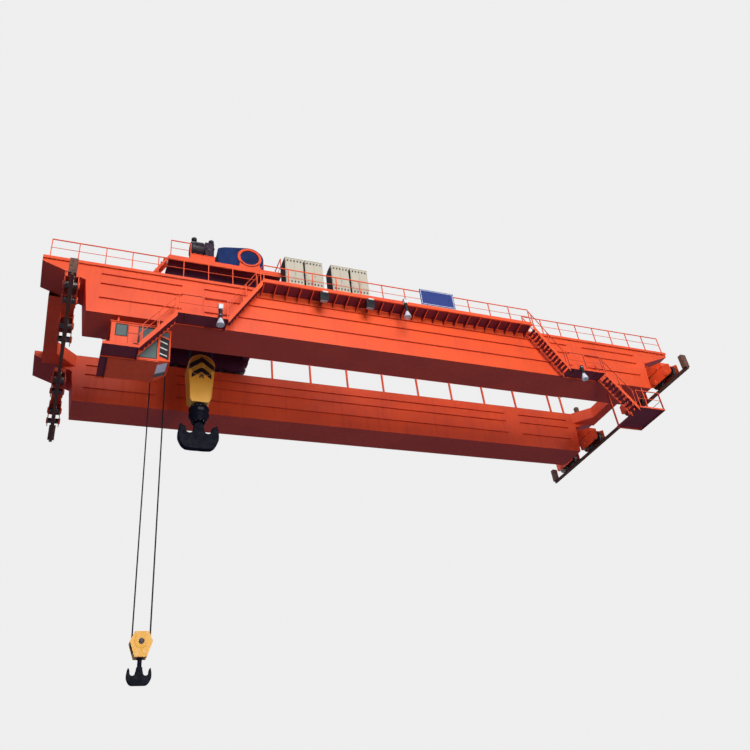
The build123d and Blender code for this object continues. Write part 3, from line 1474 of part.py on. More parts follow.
def crosshead():
    """The dark forging under the block, hollow for the nut that carries the hook."""
    x = MAIN_HOOK_X
    low = CROSSHEAD_BOTTOM
    waist = low + CROSSHEAD_FOOT_RISE
    neck = low + CROSSHEAD_BARREL_RISE
    form = join(
        rod(x, 0, waist, neck, CROSSHEAD_RADIUS),
        [
            cone(x, 0, neck, BLOCK_BOTTOM, CROSSHEAD_RADIUS, CROSSHEAD_NECK),
            cone(x, 0, low, waist, CROSSHEAD_FOOT, CROSSHEAD_RADIUS),
        ],
    )
    nut_room = rod(x, 0, NUT_LOW, NUT_LOW + NUT_DEPTH + NUT_HEADROOM, NUT_RADIUS + SHANK_CLEAR)
    shank_room = rod(x, 0, low - OVERCUT, NUT_LOW + OVERCUT, SHANK_RADIUS + SHANK_CLEAR)
    return form - nut_room - shank_room


def double_hook(x, centre, half_width, drop, thickness, throat_x, throat_z, throat_r, lip, horn_top, shank):
    """A double hook: a wide forging with two throats open at the top between shank and horns."""
    right = [(half_width * share, centre + drop * rise) for share, rise in HOOK_OUTLINE]
    tip = (half_width * HORN_TIP, horn_top)
    outline = [(x + reach, z) for reach, z in right + [tip]]
    outline += [(x - reach, z) for reach, z in [tip] + right[::-1]]
    form = plate_xz(outline, -thickness / 2, thickness / 2)
    for side in (-1, 1):
        throat = x + side * throat_x
        form = form - rod_y(throat, throat_z, -thickness, thickness, throat_r)
        way_in = block(
            x + side * shank, throat + side * lip, -thickness, thickness, throat_z, horn_top + OVERCUT
        )
        form = form - way_in
    return form


def main_hook():
    """The main double hook with its round shank and the nut inside the crosshead."""
    x = MAIN_HOOK_X
    horn_top = HOOK_CENTRE + HORN_RISE
    form = double_hook(
        x,
        HOOK_CENTRE,
        HOOK_HALF_WIDTH,
        HOOK_DROP,
        HOOK_THICKNESS,
        THROAT_X,
        HOOK_CENTRE + THROAT_RISE,
        THROAT_RADIUS,
        THROAT_LIP,
        horn_top,
        SHANK_RADIUS + SHANK_SHOULDER,
    )
    nut_low = NUT_LOW + RUNNING_GAP
    shank = rod(x, 0, horn_top - SHANK_ROOT, nut_low, SHANK_RADIUS)
    nut = rod(x, 0, nut_low, nut_low + NUT_DEPTH, NUT_RADIUS)
    return join(form, [shank, nut])


def aux_block():
    """The auxiliary block: two cheeks, end covers and a solid foot."""
    x = AUX_HOOK_X
    outer_y = AUX_HALF_PIN + AUX_PLATE
    half = AUX_SHEAVE_RADIUS + AUX_CHEEK_EXTRA
    top = AUX_AXIS + AUX_SHEAVE_RADIUS
    outline = [
        (x - AUX_FOOT_HALF, AUX_BLOCK_BOTTOM),
        (x + AUX_FOOT_HALF, AUX_BLOCK_BOTTOM),
        (x + half, AUX_AXIS),
        (x + AUX_CHEEK_TOP, top),
        (x - AUX_CHEEK_TOP, top),
        (x - half, AUX_AXIS),
    ]
    clear = AUX_SHEAVE_RADIUS + AUX_SHEAVE_CLEAR
    low = AUX_AXIS - AUX_SHEAVE_RADIUS - AUX_WELL
    well = block(x - clear, x + clear, -AUX_HALF_PIN, AUX_HALF_PIN, low, top + OVERCUT)
    return plate_xz(outline, -outer_y, outer_y) - well


def aux_hook():
    """The auxiliary double hook, hung face to face under its block."""
    x = AUX_HOOK_X
    horn_top = AUX_HOOK_CENTRE + AUX_HORN_RISE
    form = double_hook(
        x,
        AUX_HOOK_CENTRE,
        AUX_HOOK_HALF_WIDTH,
        AUX_HOOK_DROP,
        AUX_HOOK_THICKNESS,
        AUX_THROAT_X,
        AUX_HOOK_CENTRE + AUX_THROAT_RISE,
        AUX_THROAT_RADIUS,
        AUX_THROAT_LIP,
        horn_top,
        AUX_SHANK_RADIUS + AUX_SHANK_SHOULDER,
    )
    return join(form, [rod(x, 0, horn_top - AUX_SHANK_ROOT, AUX_BLOCK_BOTTOM, AUX_SHANK_RADIUS)])


# The root: two lengths of runway rail
save("runway_rail_right", runway_rail())
save("runway_rail_left", mirror_span(runway_rail()))

# The bridge
save("near_girder", near_girder())
save("far_girder", mirror_gap(near_girder()))
save("trolley_rail_near", trolley_rail())
save("trolley_rail_far", mirror_gap(trolley_rail()))
save("end_beam_right", end_beam())
save("end_beam_left", mirror_span(end_beam()))
travel_gear = {
    "balance_beams": balance_beam(),
    "bogies": Compound(children=[bogie(-GIRDER_Y - BOGIE_OFFSET), bogie(-GIRDER_Y + BOGIE_OFFSET)]),
    "travel_wheels": Compound(children=corner_wheels()),
}
for gear_name, near_gear in travel_gear.items():
    right_gear = [near_gear, mirror_gap(near_gear)]
    save(f"{gear_name}_right", right_gear)
    save(f"{gear_name}_left", [mirror_span(gear) for gear in right_gear])
save("walkway_near", walkway_near())
save("walkway_far", mirror_gap(walkway_near()))
save("walkway_railing_near", walkway_railing_near())
save("walkway_railing_far", mirror_gap(walkway_railing_near()))
near_end_railings = [end_railing_right(), mirror_span(end_railing_right())]
save("end_railings_near", near_end_railings)
save("end_railings_far", [mirror_gap(railing) for railing in near_end_railings])
save("upper_stair_right", upper_stair())
save("upper_stair_left", mirror_span(upper_stair()))
save("lower_stair_right", lower_stair())
save("lower_stair_left", mirror_span(lower_stair()))
save("lower_platform_right", lower_platform())
save("lower_platform_left", mirror_span(lower_platform()))
save("right_landing", right_landing())
save("cab_platform", cab_platform())
save("cab_walls", cab_walls())
save("cab_floor", cab_floor())
save("cab_roof", cab_roof())
save("cab_glass", cab_glass())
save("electric_cabinets", cabinets())
save("notice_board", notice_board())
save("walkway_lamps", walkway_lamps())

# The trolley
save("trolley_frame", trolley_frame())
save("trolley_wheels", trolley_wheels())
save("trolley_deck", trolley_deck())
save("trolley_railing", trolley_railing())
save("trolley_stair", trolley_stair())
save("drum_pedestals", drum_pedestals())
save("main_drum", main_drum())
save("drum_cover", drum_cover())
save("cover_ring", cover_ring())
save("hoist_winch_near", winch_set(WINCH_X, -WINCH_Y))
save("hoist_winch_far", winch_set(WINCH_X, WINCH_Y))
save("main_upper_sheaves", main_upper_sheaves())
save("aux_upper_sheaves", aux_stack(AUX_UPPER_AXIS, AUX_ARM_Y))
save(
    "main_ropes", rope_falls(
        MAIN_HOOK_X, MAIN_FALL_X, MAIN_SHEAVES, MAIN_PITCH, ROPE_RADIUS, BLOCK_AXIS, UPPER_AXIS
    )
)
save(
    "aux_ropes",
    rope_falls(AUX_HOOK_X, AUX_FALL_X, AUX_SHEAVES, AUX_PITCH, AUX_ROPE_RADIUS, AUX_AXIS, AUX_UPPER_AXIS),
)

# The blocks and hooks
save("main_block_housing", block_housing())
save("main_block_sheaves", main_stack(BLOCK_AXIS, BLOCK_HALF_PIN))
save("main_crosshead", crosshead())
save("main_hook", main_hook())
save("aux_block_housing", aux_block())
save("aux_block_sheaves", aux_stack(AUX_AXIS, AUX_HALF_PIN))
save("aux_hook", aux_hook())
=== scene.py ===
"""Looks of a double girder overhead crane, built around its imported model, in metres.

Each operator dresses one group of pieces, and the panel lists them in the order of the work.
"""

import math
from itertools import product

import bmesh
import bpy
from mathutils import Matrix, Vector, noise


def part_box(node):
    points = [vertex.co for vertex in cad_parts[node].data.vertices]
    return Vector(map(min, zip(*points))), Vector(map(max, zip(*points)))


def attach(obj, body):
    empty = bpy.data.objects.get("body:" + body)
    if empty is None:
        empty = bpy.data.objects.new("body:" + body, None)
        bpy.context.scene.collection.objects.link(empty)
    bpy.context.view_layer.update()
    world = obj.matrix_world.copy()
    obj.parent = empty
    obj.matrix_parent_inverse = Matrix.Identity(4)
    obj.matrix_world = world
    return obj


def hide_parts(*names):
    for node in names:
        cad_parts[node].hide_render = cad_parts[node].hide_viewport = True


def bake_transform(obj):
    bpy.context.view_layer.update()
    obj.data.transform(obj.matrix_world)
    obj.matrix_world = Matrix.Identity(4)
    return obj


bl_info = {
    "name": "Double Girder Overhead Crane",
    "version": (1, 0, 0),
    "blender": (4, 5, 0),
    "location": "3D View > Sidebar > Crane",
    "description": "Dresses an overhead travelling crane with enamel, fittings, rope and canvas",
    "category": "Object",
}

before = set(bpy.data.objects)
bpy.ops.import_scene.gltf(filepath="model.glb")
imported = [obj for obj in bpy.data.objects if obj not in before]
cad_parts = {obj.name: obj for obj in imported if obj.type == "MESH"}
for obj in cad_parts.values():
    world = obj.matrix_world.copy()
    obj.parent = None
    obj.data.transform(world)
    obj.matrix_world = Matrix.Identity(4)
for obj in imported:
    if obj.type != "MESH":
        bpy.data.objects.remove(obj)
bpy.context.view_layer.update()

MM = 0.001
NEAR_LOW, NEAR_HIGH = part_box("near_girder")
MIDDLE = Vector(((NEAR_LOW.x + NEAR_HIGH.x) / 2, 0.0, NEAR_LOW.z))
SIDES = (-1, 1)
FINISHES = {}


# Colours and nodes


def linear(code):
    """An sRGB hex colour as linear RGBA."""
    parts = [int(code[i : i + 2], 16) / 255 for i in (1, 3, 5)]
    flat = [c / 12.92 if c <= 0.04045 else ((c + 0.055) / 1.055) ** 2.4 for c in parts]
    return (*flat, 1.0)


def add(tree, kind, inputs=None, stops=None, **settings):
    """Add one node: its own settings, its colour stops, and its sockets' values or links."""
    node = tree.nodes.new(kind)
    for name, value in settings.items():
        setattr(node, name, value)
    for name, value in (inputs or {}).items():
        if isinstance(value, bpy.types.NodeSocket):
            tree.links.new(value, node.inputs[name])
        else:
            node.inputs[name].default_value = value
    steps = node.color_ramp.elements if stops else ()
    for i, (place, colour) in enumerate(stops or ()):
        step = steps[i] if i < 2 else steps.new(place)
        step.position = place
        step.color = colour
    return node


def start_material(name, colour, metallic, roughness):
    """A material with its main shader's uniform values set, its node tree, that shader, and the
    place on the object for its patterns."""
    made = bpy.data.materials.new(name)
    made.use_nodes = True
    tree = made.node_tree
    shader = tree.nodes["Principled BSDF"]
    shader.inputs["Base Color"].default_value = colour
    shader.inputs["Metallic"].default_value = metallic
    shader.inputs["Roughness"].default_value = roughness
    place = add(tree, "ShaderNodeTexCoord").outputs["Object"]
    return made, tree, shader, place


def facing(tree):
    """The three parts of the direction that a face looks in."""
    looks = add(tree, "ShaderNodeNewGeometry").outputs["Normal"]
    return add(tree, "ShaderNodeSeparateXYZ", {0: looks}).outputs


def two_tones(tree, place, size_mm, detail, stops):
    """Patches of two colours, about size_mm across: the noise and the coloured node."""
    patches = add(tree, "ShaderNodeTexNoise", {"Vector": place, "Scale": grain(size_mm), "Detail": detail})
    return patches, add(tree, "ShaderNodeValToRGB", {0: patches.outputs["Fac"]}, stops)


def grain(size_mm):
    """A noise scale whose grains are about this many millimetres across."""
    return 1.0 / (size_mm * MM)


# Shapes


class Shape:
    """Faces gathered part by part, then made into one mesh object at the origin."""

    def __init__(self):
        self.points = []
        self.faces = []
        self.skins = []
        self.skin = 0

    def put(self, points, faces):
        """Add points and the faces between them, in the skin in hand."""
        start = len(self.points)
        self.points.extend(Vector(p) for p in points)
        for face in faces:
            self.faces.append([start + i for i in face])
            self.skins.append(self.skin)

    def loft(self, rings, closed=False, capped=True):
        """Join rings of equally many points, in order, into a skin."""
        count = len(rings[0])
        points = [p for ring in rings for p in ring]
        faces = []
        last = len(rings) if closed else len(rings) - 1
        for r in range(last):
            low = r * count
            high = (r + 1) % len(rings) * count
            for i in range(count):
                j = (i + 1) % count
                faces.append((low + i, low + j, high + j, high + i))
        if capped and not closed:
            faces.append(tuple(reversed(range(count))))
            faces.append(tuple(range(len(points) - count, len(points))))
        self.put(points, faces)

    def sheet(self, rings):
        """One open surface through rings of equally many points, without thickness."""
        count = len(rings[0])
        faces = []
        for r in range(len(rings) - 1):
            for i in range(count - 1):
                start = r * count + i
                faces.append((start, start + 1, start + count + 1, start + count))
        self.put([p for ring in rings for p in ring], faces)

    def block(self, low, high):
        """A box between two corners."""
        (x0, y0, z0), (x1, y1, z1) = low, high
        ring = ((x0, y0), (x1, y0), (x1, y1), (x0, y1))
        self.loft([[(x, y, z) for x, y in ring] for z in (z0, z1)])

    def box_at(self, centre, size):
        """A box by its centre and its size."""
        half = Vector(size) / 2
        self.block(Vector(centre) - half, Vector(centre) + half)

    def prism(self, outline, axis, start, end):
        """An outline in the plane across an axis, run from start to end along it."""
        rings = []
        for level in (start, end):
            ring = []
            for u, v in outline:
                place = [u, v]
                place.insert(axis, level)
                ring.append(tuple(place))
            rings.append(ring)
        self.loft(rings)

    def tube(self, path, radius, sides=12, closed=False):
        """A round bar along a path, with mitred corners."""
        path = [Vector(p) for p in path]
        count = len(path)
        across = None
        rings = []
        for i, here in enumerate(path):
            before = path[i - 1] if closed or i else here
            after = path[(i + 1) % count] if closed or i < count - 1 else here
            back = (here - before).normalized()
            ahead = (after - here).normalized()
            along = (back + ahead).normalized()
            if across is None:
                across = along.orthogonal().normalized()
            across = (across - along * across.dot(along)).normalized()
            beside = along.cross(across)
            straight = ahead if back.length < 0.5 else back
            stretch = 1.0 / max(0.3, along.dot(straight))
            bend = ahead - back
            outward = bend.normalized() if bend.length > 0.001 else across
            ring = []
            for k in range(sides):
                angle = 2 * math.pi * k / sides
                arm = across * math.cos(angle) + beside * math.sin(angle)
                arm += outward * arm.dot(outward) * (stretch - 1.0)
                ring.append(here + arm * radius)
            rings.append(ring)
        self.loft(rings, closed)

    def turned(self, profile, centre, axis=2, sides=24, closed=False):
        """A shape turned on a lathe: (radius, height) pairs about an axis through a centre."""
        centre = Vector(centre)
        rings = []
        for radius, height in profile:
            ring = []
            for k in range(sides):
                angle = 2 * math.pi * k / sides
                place = [radius * math.cos(angle), radius * math.sin(angle)]
                place.insert(axis, height)
                ring.append(centre + Vector(place))
            rings.append(ring)
        self.loft(rings, closed, not closed)

    def cap(self, profile, place, axis, side, sides=32):
        """A turned cap that stands on a face: the heights of its profile run out on that side."""
        self.turned([(radius, side * height) for radius, height in profile], place, axis, sides)

    def bolt(self, place, axis, size, side=1):
        """A hexagon head on a washer, facing along an axis; size is its width."""
        washer = size * 0.65
        head = size * 0.55
        self.cap([(washer, -0.002), (washer, size * 0.12)], place, axis, side, 12)
        self.cap([(head, size * 0.1), (head, size * 0.5)], place, axis, side, 6)

    def bolt_ring(self, place, axis, radius, count, size, side=1, turn=0.0):
        """Bolts in a circle about a place; turn is the first one's share of the spacing."""
        for k in range(count):
            angle = 2 * math.pi * (k + turn) / count
            across = [radius * math.cos(angle), radius * math.sin(angle)]
            across.insert(axis, 0.0)
            self.bolt([a + b for a, b in zip(place, across)], axis, size, side)

    def hoop(self, place, radius, bar, steps):
        """A round bar bent to an upright ring that faces y."""
        x, y, z = place
        ring = [(x + u, y, z + v) for u, v in arc((0, 0), radius, 0, 360, steps)]
        self.tube(ring[:-1], bar, 8, True)

    def make(self, name, body, slot, finishes, bevel=0.0, angle=35.0):
        """Turn the gathered faces into an object that rides on a body. finishes names one finish
        for each skin."""
        mesh = bpy.data.meshes.new(name)
        mesh.from_pydata([tuple(p) for p in self.points], [], self.faces)
        mesh.polygons.foreach_set("material_index", self.skins)
        return finish_mesh(mesh, name, body, finishes, bevel, angle)


def finish_mesh(mesh, name, body, finishes, bevel=0.0, angle=35.0):
    """Tidy a mesh, round its edges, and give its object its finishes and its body."""
    for key in finishes.split():
        mesh.materials.append(FINISHES[key])
    tidy = bmesh.new()
    tidy.from_mesh(mesh)
    bmesh.ops.recalc_face_normals(tidy, faces=tidy.faces)
    tidy.to_mesh(mesh)
    tidy.free()
    mesh.shade_smooth()
    mesh.set_sharp_from_angle(angle=math.radians(angle))
    made = bpy.data.objects.new(name, mesh)
    bpy.context.scene.collection.objects.link(made)
    if bevel:
        soften = made.modifiers.new("eased_edges", "BEVEL")
        soften.width = bevel
        soften.segments = 2
        soften.limit_method = "ANGLE"
        soften.angle_limit = math.radians(angle)
    if body:
        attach(made, body)
    return made


def solid_boxes(name):
    """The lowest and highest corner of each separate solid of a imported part, from left to right."""
    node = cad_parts[name]
    slack = MM
    boxes = []
    for face in node.data.polygons:
        points = [node.matrix_world @ node.data.vertices[i].co for i in face.vertices]
        low = [min(p[k] for p in points) for k in range(3)]
        high = [max(p[k] for p in points) for k in range(3)]
        apart = []
        for box_low, box_high in boxes:
            if all(low[k] <= box_high[k] + slack and high[k] >= box_low[k] - slack for k in range(3)):
                low = [min(low[k], box_low[k]) for k in range(3)]
                high = [max(high[k], box_high[k]) for k in range(3)]
            else:
                apart.append((box_low, box_high))
        boxes = [*apart, (low, high)]
    return [(Vector(low), Vector(high)) for low, high in sorted(boxes)]


def arc(centre, radius, start, end, steps):
    """Points of an arc in a plane, from one angle in degrees to another."""
    points = []
    for i in range(steps + 1):
        angle = math.radians(start + (end - start) * i / steps)
        points.append((centre[0] + radius * math.cos(angle), centre[1] + radius * math.sin(angle)))
    return points


def spaced(start, end, pitch):
    """Evenly spaced places from start to end, at about a pitch."""
    count = max(1, round((end - start) / pitch))
    return [start + (end - start) * i / count for i in range(count + 1)]


# Materials

ORANGE_PEEL = 14
DIAPHRAGM_PITCH = 1.3
THREAD_PITCH = 12 * MM
LOZENGE = 60 * MM
# The block's black chevrons: each one's drop below the block's top, its width, and how far its
# arms reach from the middle.
CHEVRONS = ((0.17, 0.34, 0.7), (0.84, 0.3, 0.53), (1.3, 0.16, 0.12))
CHEVRON_SLOPE = 0.78
COVER_EDGE = 0.06


def wave_scale(pitch):
    """The scale of a wave pattern whose bands come at a pitch."""
    return 2 * math.pi / (20 * pitch)


def soiled(tree, place, fresh, shaded, dust):
    """The colour of painted plates that differ in tone, with runs of grime down the upright faces
    and dust on the flat ones, and the pattern of the runs."""
    plates = add(tree, "ShaderNodeTexNoise", {"Vector": place, "Scale": grain(2600), "Detail": 2.0})
    tone = add(tree, "ShaderNodeMapRange", {0: plates.outputs["Fac"], 1: 0.38, 2: 0.66, 4: 0.3})
    base = add(tree, "ShaderNodeMix", {0: tone.outputs[0], 6: fresh, 7: shaded}, data_type="RGBA")
    upright = add(tree, "ShaderNodeMapping", {"Vector": place, "Scale": (1.0, 1.0, 0.08)})
    runs = add(
        tree,
        "ShaderNodeTexNoise",
        {"Vector": upright.outputs[0], "Scale": grain(240), "Detail": 6.0, "Roughness": 0.62},
    )
    grime = add(tree, "ShaderNodeMapRange", {0: runs.outputs["Fac"], 1: 0.52, 2: 0.74, 4: 0.34})
    stained = add(
        tree, "ShaderNodeMix", {0: grime.outputs[0], 6: base.outputs[2], 7: shaded}, data_type="RGBA"
    )
    level = add(tree, "ShaderNodeMapRange", {0: facing(tree)[2], 1: 0.6, 2: 0.95, 4: 0.4})
    dusty = add(
        tree, "ShaderNodeMix", {0: level.outputs[0], 6: stained.outputs[2], 7: dust}, data_type="RGBA"
    )
    return dusty.outputs[2], runs.outputs["Fac"]


def enamel(name, fresh, shaded, dust, rust, roughness=0.4):
    """Alkyd enamel sprayed on welded plate. The eye gets a soft sheen, plate-wide changes of tone,
    runs of grime down the upright faces, dust on the flat ones and a few specks of rust."""
    made, tree, shader, place = start_material(name, fresh, 0.0, roughness)
    shader.inputs["Specular IOR Level"].default_value = 0.35
    colour, runs = soiled(tree, place, fresh, shaded, dust)
    specks = add(
        tree, "ShaderNodeTexNoise", {"Vector": place, "Scale": grain(50), "Detail": 7.0, "Roughness": 0.7}
    )
    rusty = add(tree, "ShaderNodeMapRange", {0: specks.outputs["Fac"], 1: 0.68, 2: 0.76, 4: rust})
    coat = add(
        tree, "ShaderNodeMix", {0: rusty.outputs[0], 6: colour, 7: linear("#4A2217")}, data_type="RGBA"
    )
    tree.links.new(coat.outputs[2], shader.inputs["Base Color"])
    sheen = add(
        tree, "ShaderNodeMapRange", {0: runs, 1: 0.3, 2: 0.8, 3: roughness - 0.06, 4: roughness + 0.2}
    )
    tree.links.new(sheen.outputs[0], shader.inputs["Roughness"])
    # Sprayed enamel has an orange peel of about 3 mm, drawn at 14 mm so that it shows.
    peel = add(tree, "ShaderNodeTexNoise", {"Vector": place, "Scale": grain(ORANGE_PEEL), "Detail": 2.0})
    ripple = add(
        tree, "ShaderNodeBump", {"Height": peel.outputs["Fac"], "Strength": 0.12, "Distance": 2 * MM}
    )
    tree.links.new(ripple.outputs[0], shader.inputs["Normal"])
    return made, tree, shader, place, coat, ripple


def lay_painted_shade(tree, shader, coat, share, shade_colour):
    """Painted shade over a coat: the coat mixed towards a shade colour, as strongly as each place's share."""
    shade_painted = add(tree, "ShaderNodeMix", {0: share.outputs[0], 6: coat.outputs[2], 7: shade_colour}, data_type="RGBA")
    tree.links.new(shade_painted.outputs[2], shader.inputs["Base Color"])


def girder_enamel(colours):
    """Enamel on the box girders: the thin webs show each inner diaphragm, welded every 1.3 m, as a
    shallow upright dent, and the undersides are darkened with painted shade."""
    made, tree, shader, place, coat, ripple = enamel(
        "girder_orange_enamel", colours.orange, colours.orange_shade, colours.orange_dust, 0.5
    )
    diaphragms = add(
        tree,
        "ShaderNodeTexWave",
        {"Vector": place, "Scale": wave_scale(DIAPHRAGM_PITCH), "Distortion": 0.0},
        wave_profile="SIN",
        bands_direction="X",
    )
    dent = add(tree, "ShaderNodeMath", {0: diaphragms.outputs["Fac"], 1: 14.0}, operation="POWER")
    deep = add(
        tree,
        "ShaderNodeBump",
        {"Height": dent.outputs[0], "Strength": 0.5, "Distance": 6 * MM, "Normal": ripple.outputs[0]},
        invert=True,
    )
    tree.links.new(deep.outputs[0], shader.inputs["Normal"])
    # Painted shade: faces that look down are mixed towards the dark deck colour, as if in shade.
    below = add(tree, "ShaderNodeMapRange", {0: facing(tree)[2], 1: -0.3, 2: -0.8, 4: 0.45})
    lay_painted_shade(tree, shader, coat, below, colours.deck)
    return made


def orange_enamel(colours):
    """The same orange enamel on rolled bars, tubes and small plates."""
    tones = (colours.orange, colours.orange_shade, colours.orange_dust)
    return enamel("fittings_orange_enamel", *tones, 0.7)[0]


def deck_enamel(colours):
    """Enamel on chequered plate: raised lozenges 60 mm long, and painted shade on the undersides and on
    the faces that look along x, such as the brackets' flanks."""
    made, tree, shader, place, coat, ripple = enamel(
        "chequered_deck_enamel", colours.orange, colours.orange_shade, colours.orange_dust, 0.9, 0.5
    )
    # Painted shade: faces that look down or along x are mixed towards the dark deck colour.
    below = add(tree, "ShaderNodeMapRange", {0: facing(tree)[2], 1: -0.3, 2: -0.8, 4: 0.95})
    aside = add(tree, "ShaderNodeMath", {0: facing(tree)[0]}, operation="ABSOLUTE")
    across = add(tree, "ShaderNodeMapRange", {0: aside.outputs[0], 1: 0.6, 2: 0.95, 4: 0.9})
    under = add(tree, "ShaderNodeMath", {0: below.outputs[0], 1: across.outputs[0]}, operation="MAXIMUM")
    lay_painted_shade(tree, shader, coat, under, colours.deck)
    turned = add(tree, "ShaderNodeMapping", {"Vector": place, "Rotation": (0.0, 0.0, math.radians(45))})
    lozenges = add(
        tree,
        "ShaderNodeTexBrick",
        {
            "Vector": turned.outputs[0],
            "Scale": 1.0,
            "Brick Width": LOZENGE,
            "Row Height": LOZENGE / 2,
            "Mortar Size": 9 * MM,
            "Mortar Smooth": 0.6,
        },
    )
    raised = add(
        tree,
        "ShaderNodeBump",
        {"Height": lozenges.outputs["Fac"], "Strength": 0.6, "Distance": 3 * MM, "Normal": ripple.outputs[0]},
        invert=True,
    )
    tree.links.new(raised.outputs[0], shader.inputs["Normal"])
    return made


def chevron_mask(tree, spread, height, top):
    """Where the chevrons lie, from how far each place is from the middle and how high it is."""
    roof = add(tree, "ShaderNodeMath", {0: spread, 1: CHEVRON_SLOPE, 2: height}, operation="MULTIPLY_ADD")
    mask = 0.0
    for drop, wide, reach in CHEVRONS:
        middle = top - drop - wide / 2
        away = add(tree, "ShaderNodeMath", {0: roof.outputs[0], 1: middle}, operation="SUBTRACT")
        size = add(tree, "ShaderNodeMath", {0: away.outputs[0]}, operation="ABSOLUTE")
        band = add(tree, "ShaderNodeMath", {0: size.outputs[0], 1: wide / 2}, operation="LESS_THAN")
        near = add(tree, "ShaderNodeMath", {0: spread, 1: reach}, operation="LESS_THAN")
        arms = add(tree, "ShaderNodeMath", {0: band.outputs[0], 1: near.outputs[0]}, operation="MULTIPLY")
        both = add(tree, "ShaderNodeMath", {0: mask, 1: arms.outputs[0]}, operation="MAXIMUM")
        mask = both.outputs[0]
    return mask


def disc_mask(tree, spread, height, axis, radius):
    """Where a round cover lies, from how far each place is from the middle and how high it is."""
    rise = add(tree, "ShaderNodeMath", {0: height, 1: axis}, operation="SUBTRACT")
    rise = add(tree, "ShaderNodeMath", {0: rise.outputs[0], 1: 2.0}, operation="POWER")
    reach = add(tree, "ShaderNodeMath", {0: spread, 1: 2.0}, operation="POWER")
    away = add(tree, "ShaderNodeMath", {0: rise.outputs[0], 1: reach.outputs[0]}, operation="ADD")
    disc = add(tree, "ShaderNodeMath", {0: away.outputs[0], 1: radius**2}, operation="LESS_THAN")
    return disc.outputs[0]


def block_enamel(colours):
    """Amber signal enamel: painted shade darkens the round covers over the sheaves, and black chevrons
    are brushed on both cheeks of the hook block."""
    made, tree, shader, place, coat, _ = enamel(
        "block_amber_enamel", colours.block, colours.block_shade, colours.block_dust, 0.8, 0.36
    )
    low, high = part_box("main_block_housing")
    centre = (low.x + high.x) / 2
    radius = (high.x - low.x) / 2
    parts = add(tree, "ShaderNodeSeparateXYZ", {0: place})
    aside = add(tree, "ShaderNodeMath", {0: parts.outputs[0], 1: centre}, operation="SUBTRACT")
    spread = add(tree, "ShaderNodeMath", {0: aside.outputs[0]}, operation="ABSOLUTE").outputs[0]
    marks = chevron_mask(tree, spread, parts.outputs[2], high.z)
    cover = disc_mask(tree, spread, parts.outputs[2], high.z - radius, radius - COVER_EDGE)
    flat = add(tree, "ShaderNodeMath", {0: facing(tree)[1]}, operation="ABSOLUTE")
    cheek = add(tree, "ShaderNodeMath", {0: flat.outputs[0], 1: 0.8}, operation="GREATER_THAN")
    painted = add(tree, "ShaderNodeMath", {0: marks, 1: cheek.outputs[0]}, operation="MULTIPLY")
    # Painted shade: on the cheeks, the round covers are mixed part way towards a dark amber.
    cover_painted_shade = add(tree, "ShaderNodeMath", {0: cover, 1: cheek.outputs[0]}, operation="MULTIPLY")
    cover_painted_shade = add(tree, "ShaderNodeMath", {0: cover_painted_shade.outputs[0], 1: 0.6}, operation="MULTIPLY")
    dull = add(
        tree,
        "ShaderNodeMix",
        {0: cover_painted_shade.outputs[0], 6: coat.outputs[2], 7: colours.block_cover_shade},
        data_type="RGBA",
    )
    marked = add(
        tree,
        "ShaderNodeMix",
        {0: painted.outputs[0], 6: dull.outputs[2], 7: linear("#15151A")},
        data_type="RGBA",
    )
    tree.links.new(marked.outputs[2], shader.inputs["Base Color"])
    return made


def rolled_rail_steel():
    """Hot rolled crane rail: brown mill scale and rust on its sides, a bright strip rolled by the
    wheels on its head."""
    made, tree, shader, place = start_material("rolled_rail_steel", linear("#5C4034"), 0.0, 0.6)
    browns = [(0.32, linear("#3A2C28")), (0.7, linear("#7C5038"))]
    scale, brown = two_tones(tree, place, 70, 6.0, browns)
    bright = add(tree, "ShaderNodeMapRange", {0: facing(tree)[2], 1: 0.8, 2: 0.99})
    skin = add(
        tree,
        "ShaderNodeMix",
        {0: bright.outputs[0], 6: brown.outputs[0], 7: linear("#A9A7A4")},
        data_type="RGBA",
    )
    tree.links.new(skin.outputs[2], shader.inputs["Base Color"])
    tree.links.new(bright.outputs[0], shader.inputs["Metallic"])
    gloss = add(tree, "ShaderNodeMapRange", {0: bright.outputs[0], 3: 0.72, 4: 0.32})
    tree.links.new(gloss.outputs[0], shader.inputs["Roughness"])
    pits = add(tree, "ShaderNodeBump", {"Height": scale.outputs["Fac"], "Strength": 0.3, "Distance": 2 * MM})
    tree.links.new(pits.outputs[0], shader.inputs["Normal"])
    return made


def metal(name, bright, dull, roughness, patch_mm, grit_mm, strength=0.25):
    """Bare or oiled metal: two tones in patches, with a fine grit that breaks the gloss up."""
    made, tree, shader, place = start_material(name, bright, 1.0, roughness)
    patches, tone = two_tones(tree, place, patch_mm, 5.0, [(0.35, dull), (0.65, bright)])
    tree.links.new(tone.outputs[0], shader.inputs["Base Color"])
    gloss = add(
        tree,
        "ShaderNodeMapRange",
        {0: patches.outputs["Fac"], 1: 0.3, 2: 0.7, 3: roughness + 0.15, 4: roughness - 0.08},
    )
    tree.links.new(gloss.outputs[0], shader.inputs["Roughness"])
    grit = add(tree, "ShaderNodeTexNoise", {"Vector": place, "Scale": grain(grit_mm), "Detail": 3.0})
    tooth = add(
        tree, "ShaderNodeBump", {"Height": grit.outputs["Fac"], "Strength": strength, "Distance": 1.5 * MM}
    )
    tree.links.new(tooth.outputs[0], shader.inputs["Normal"])
    return made


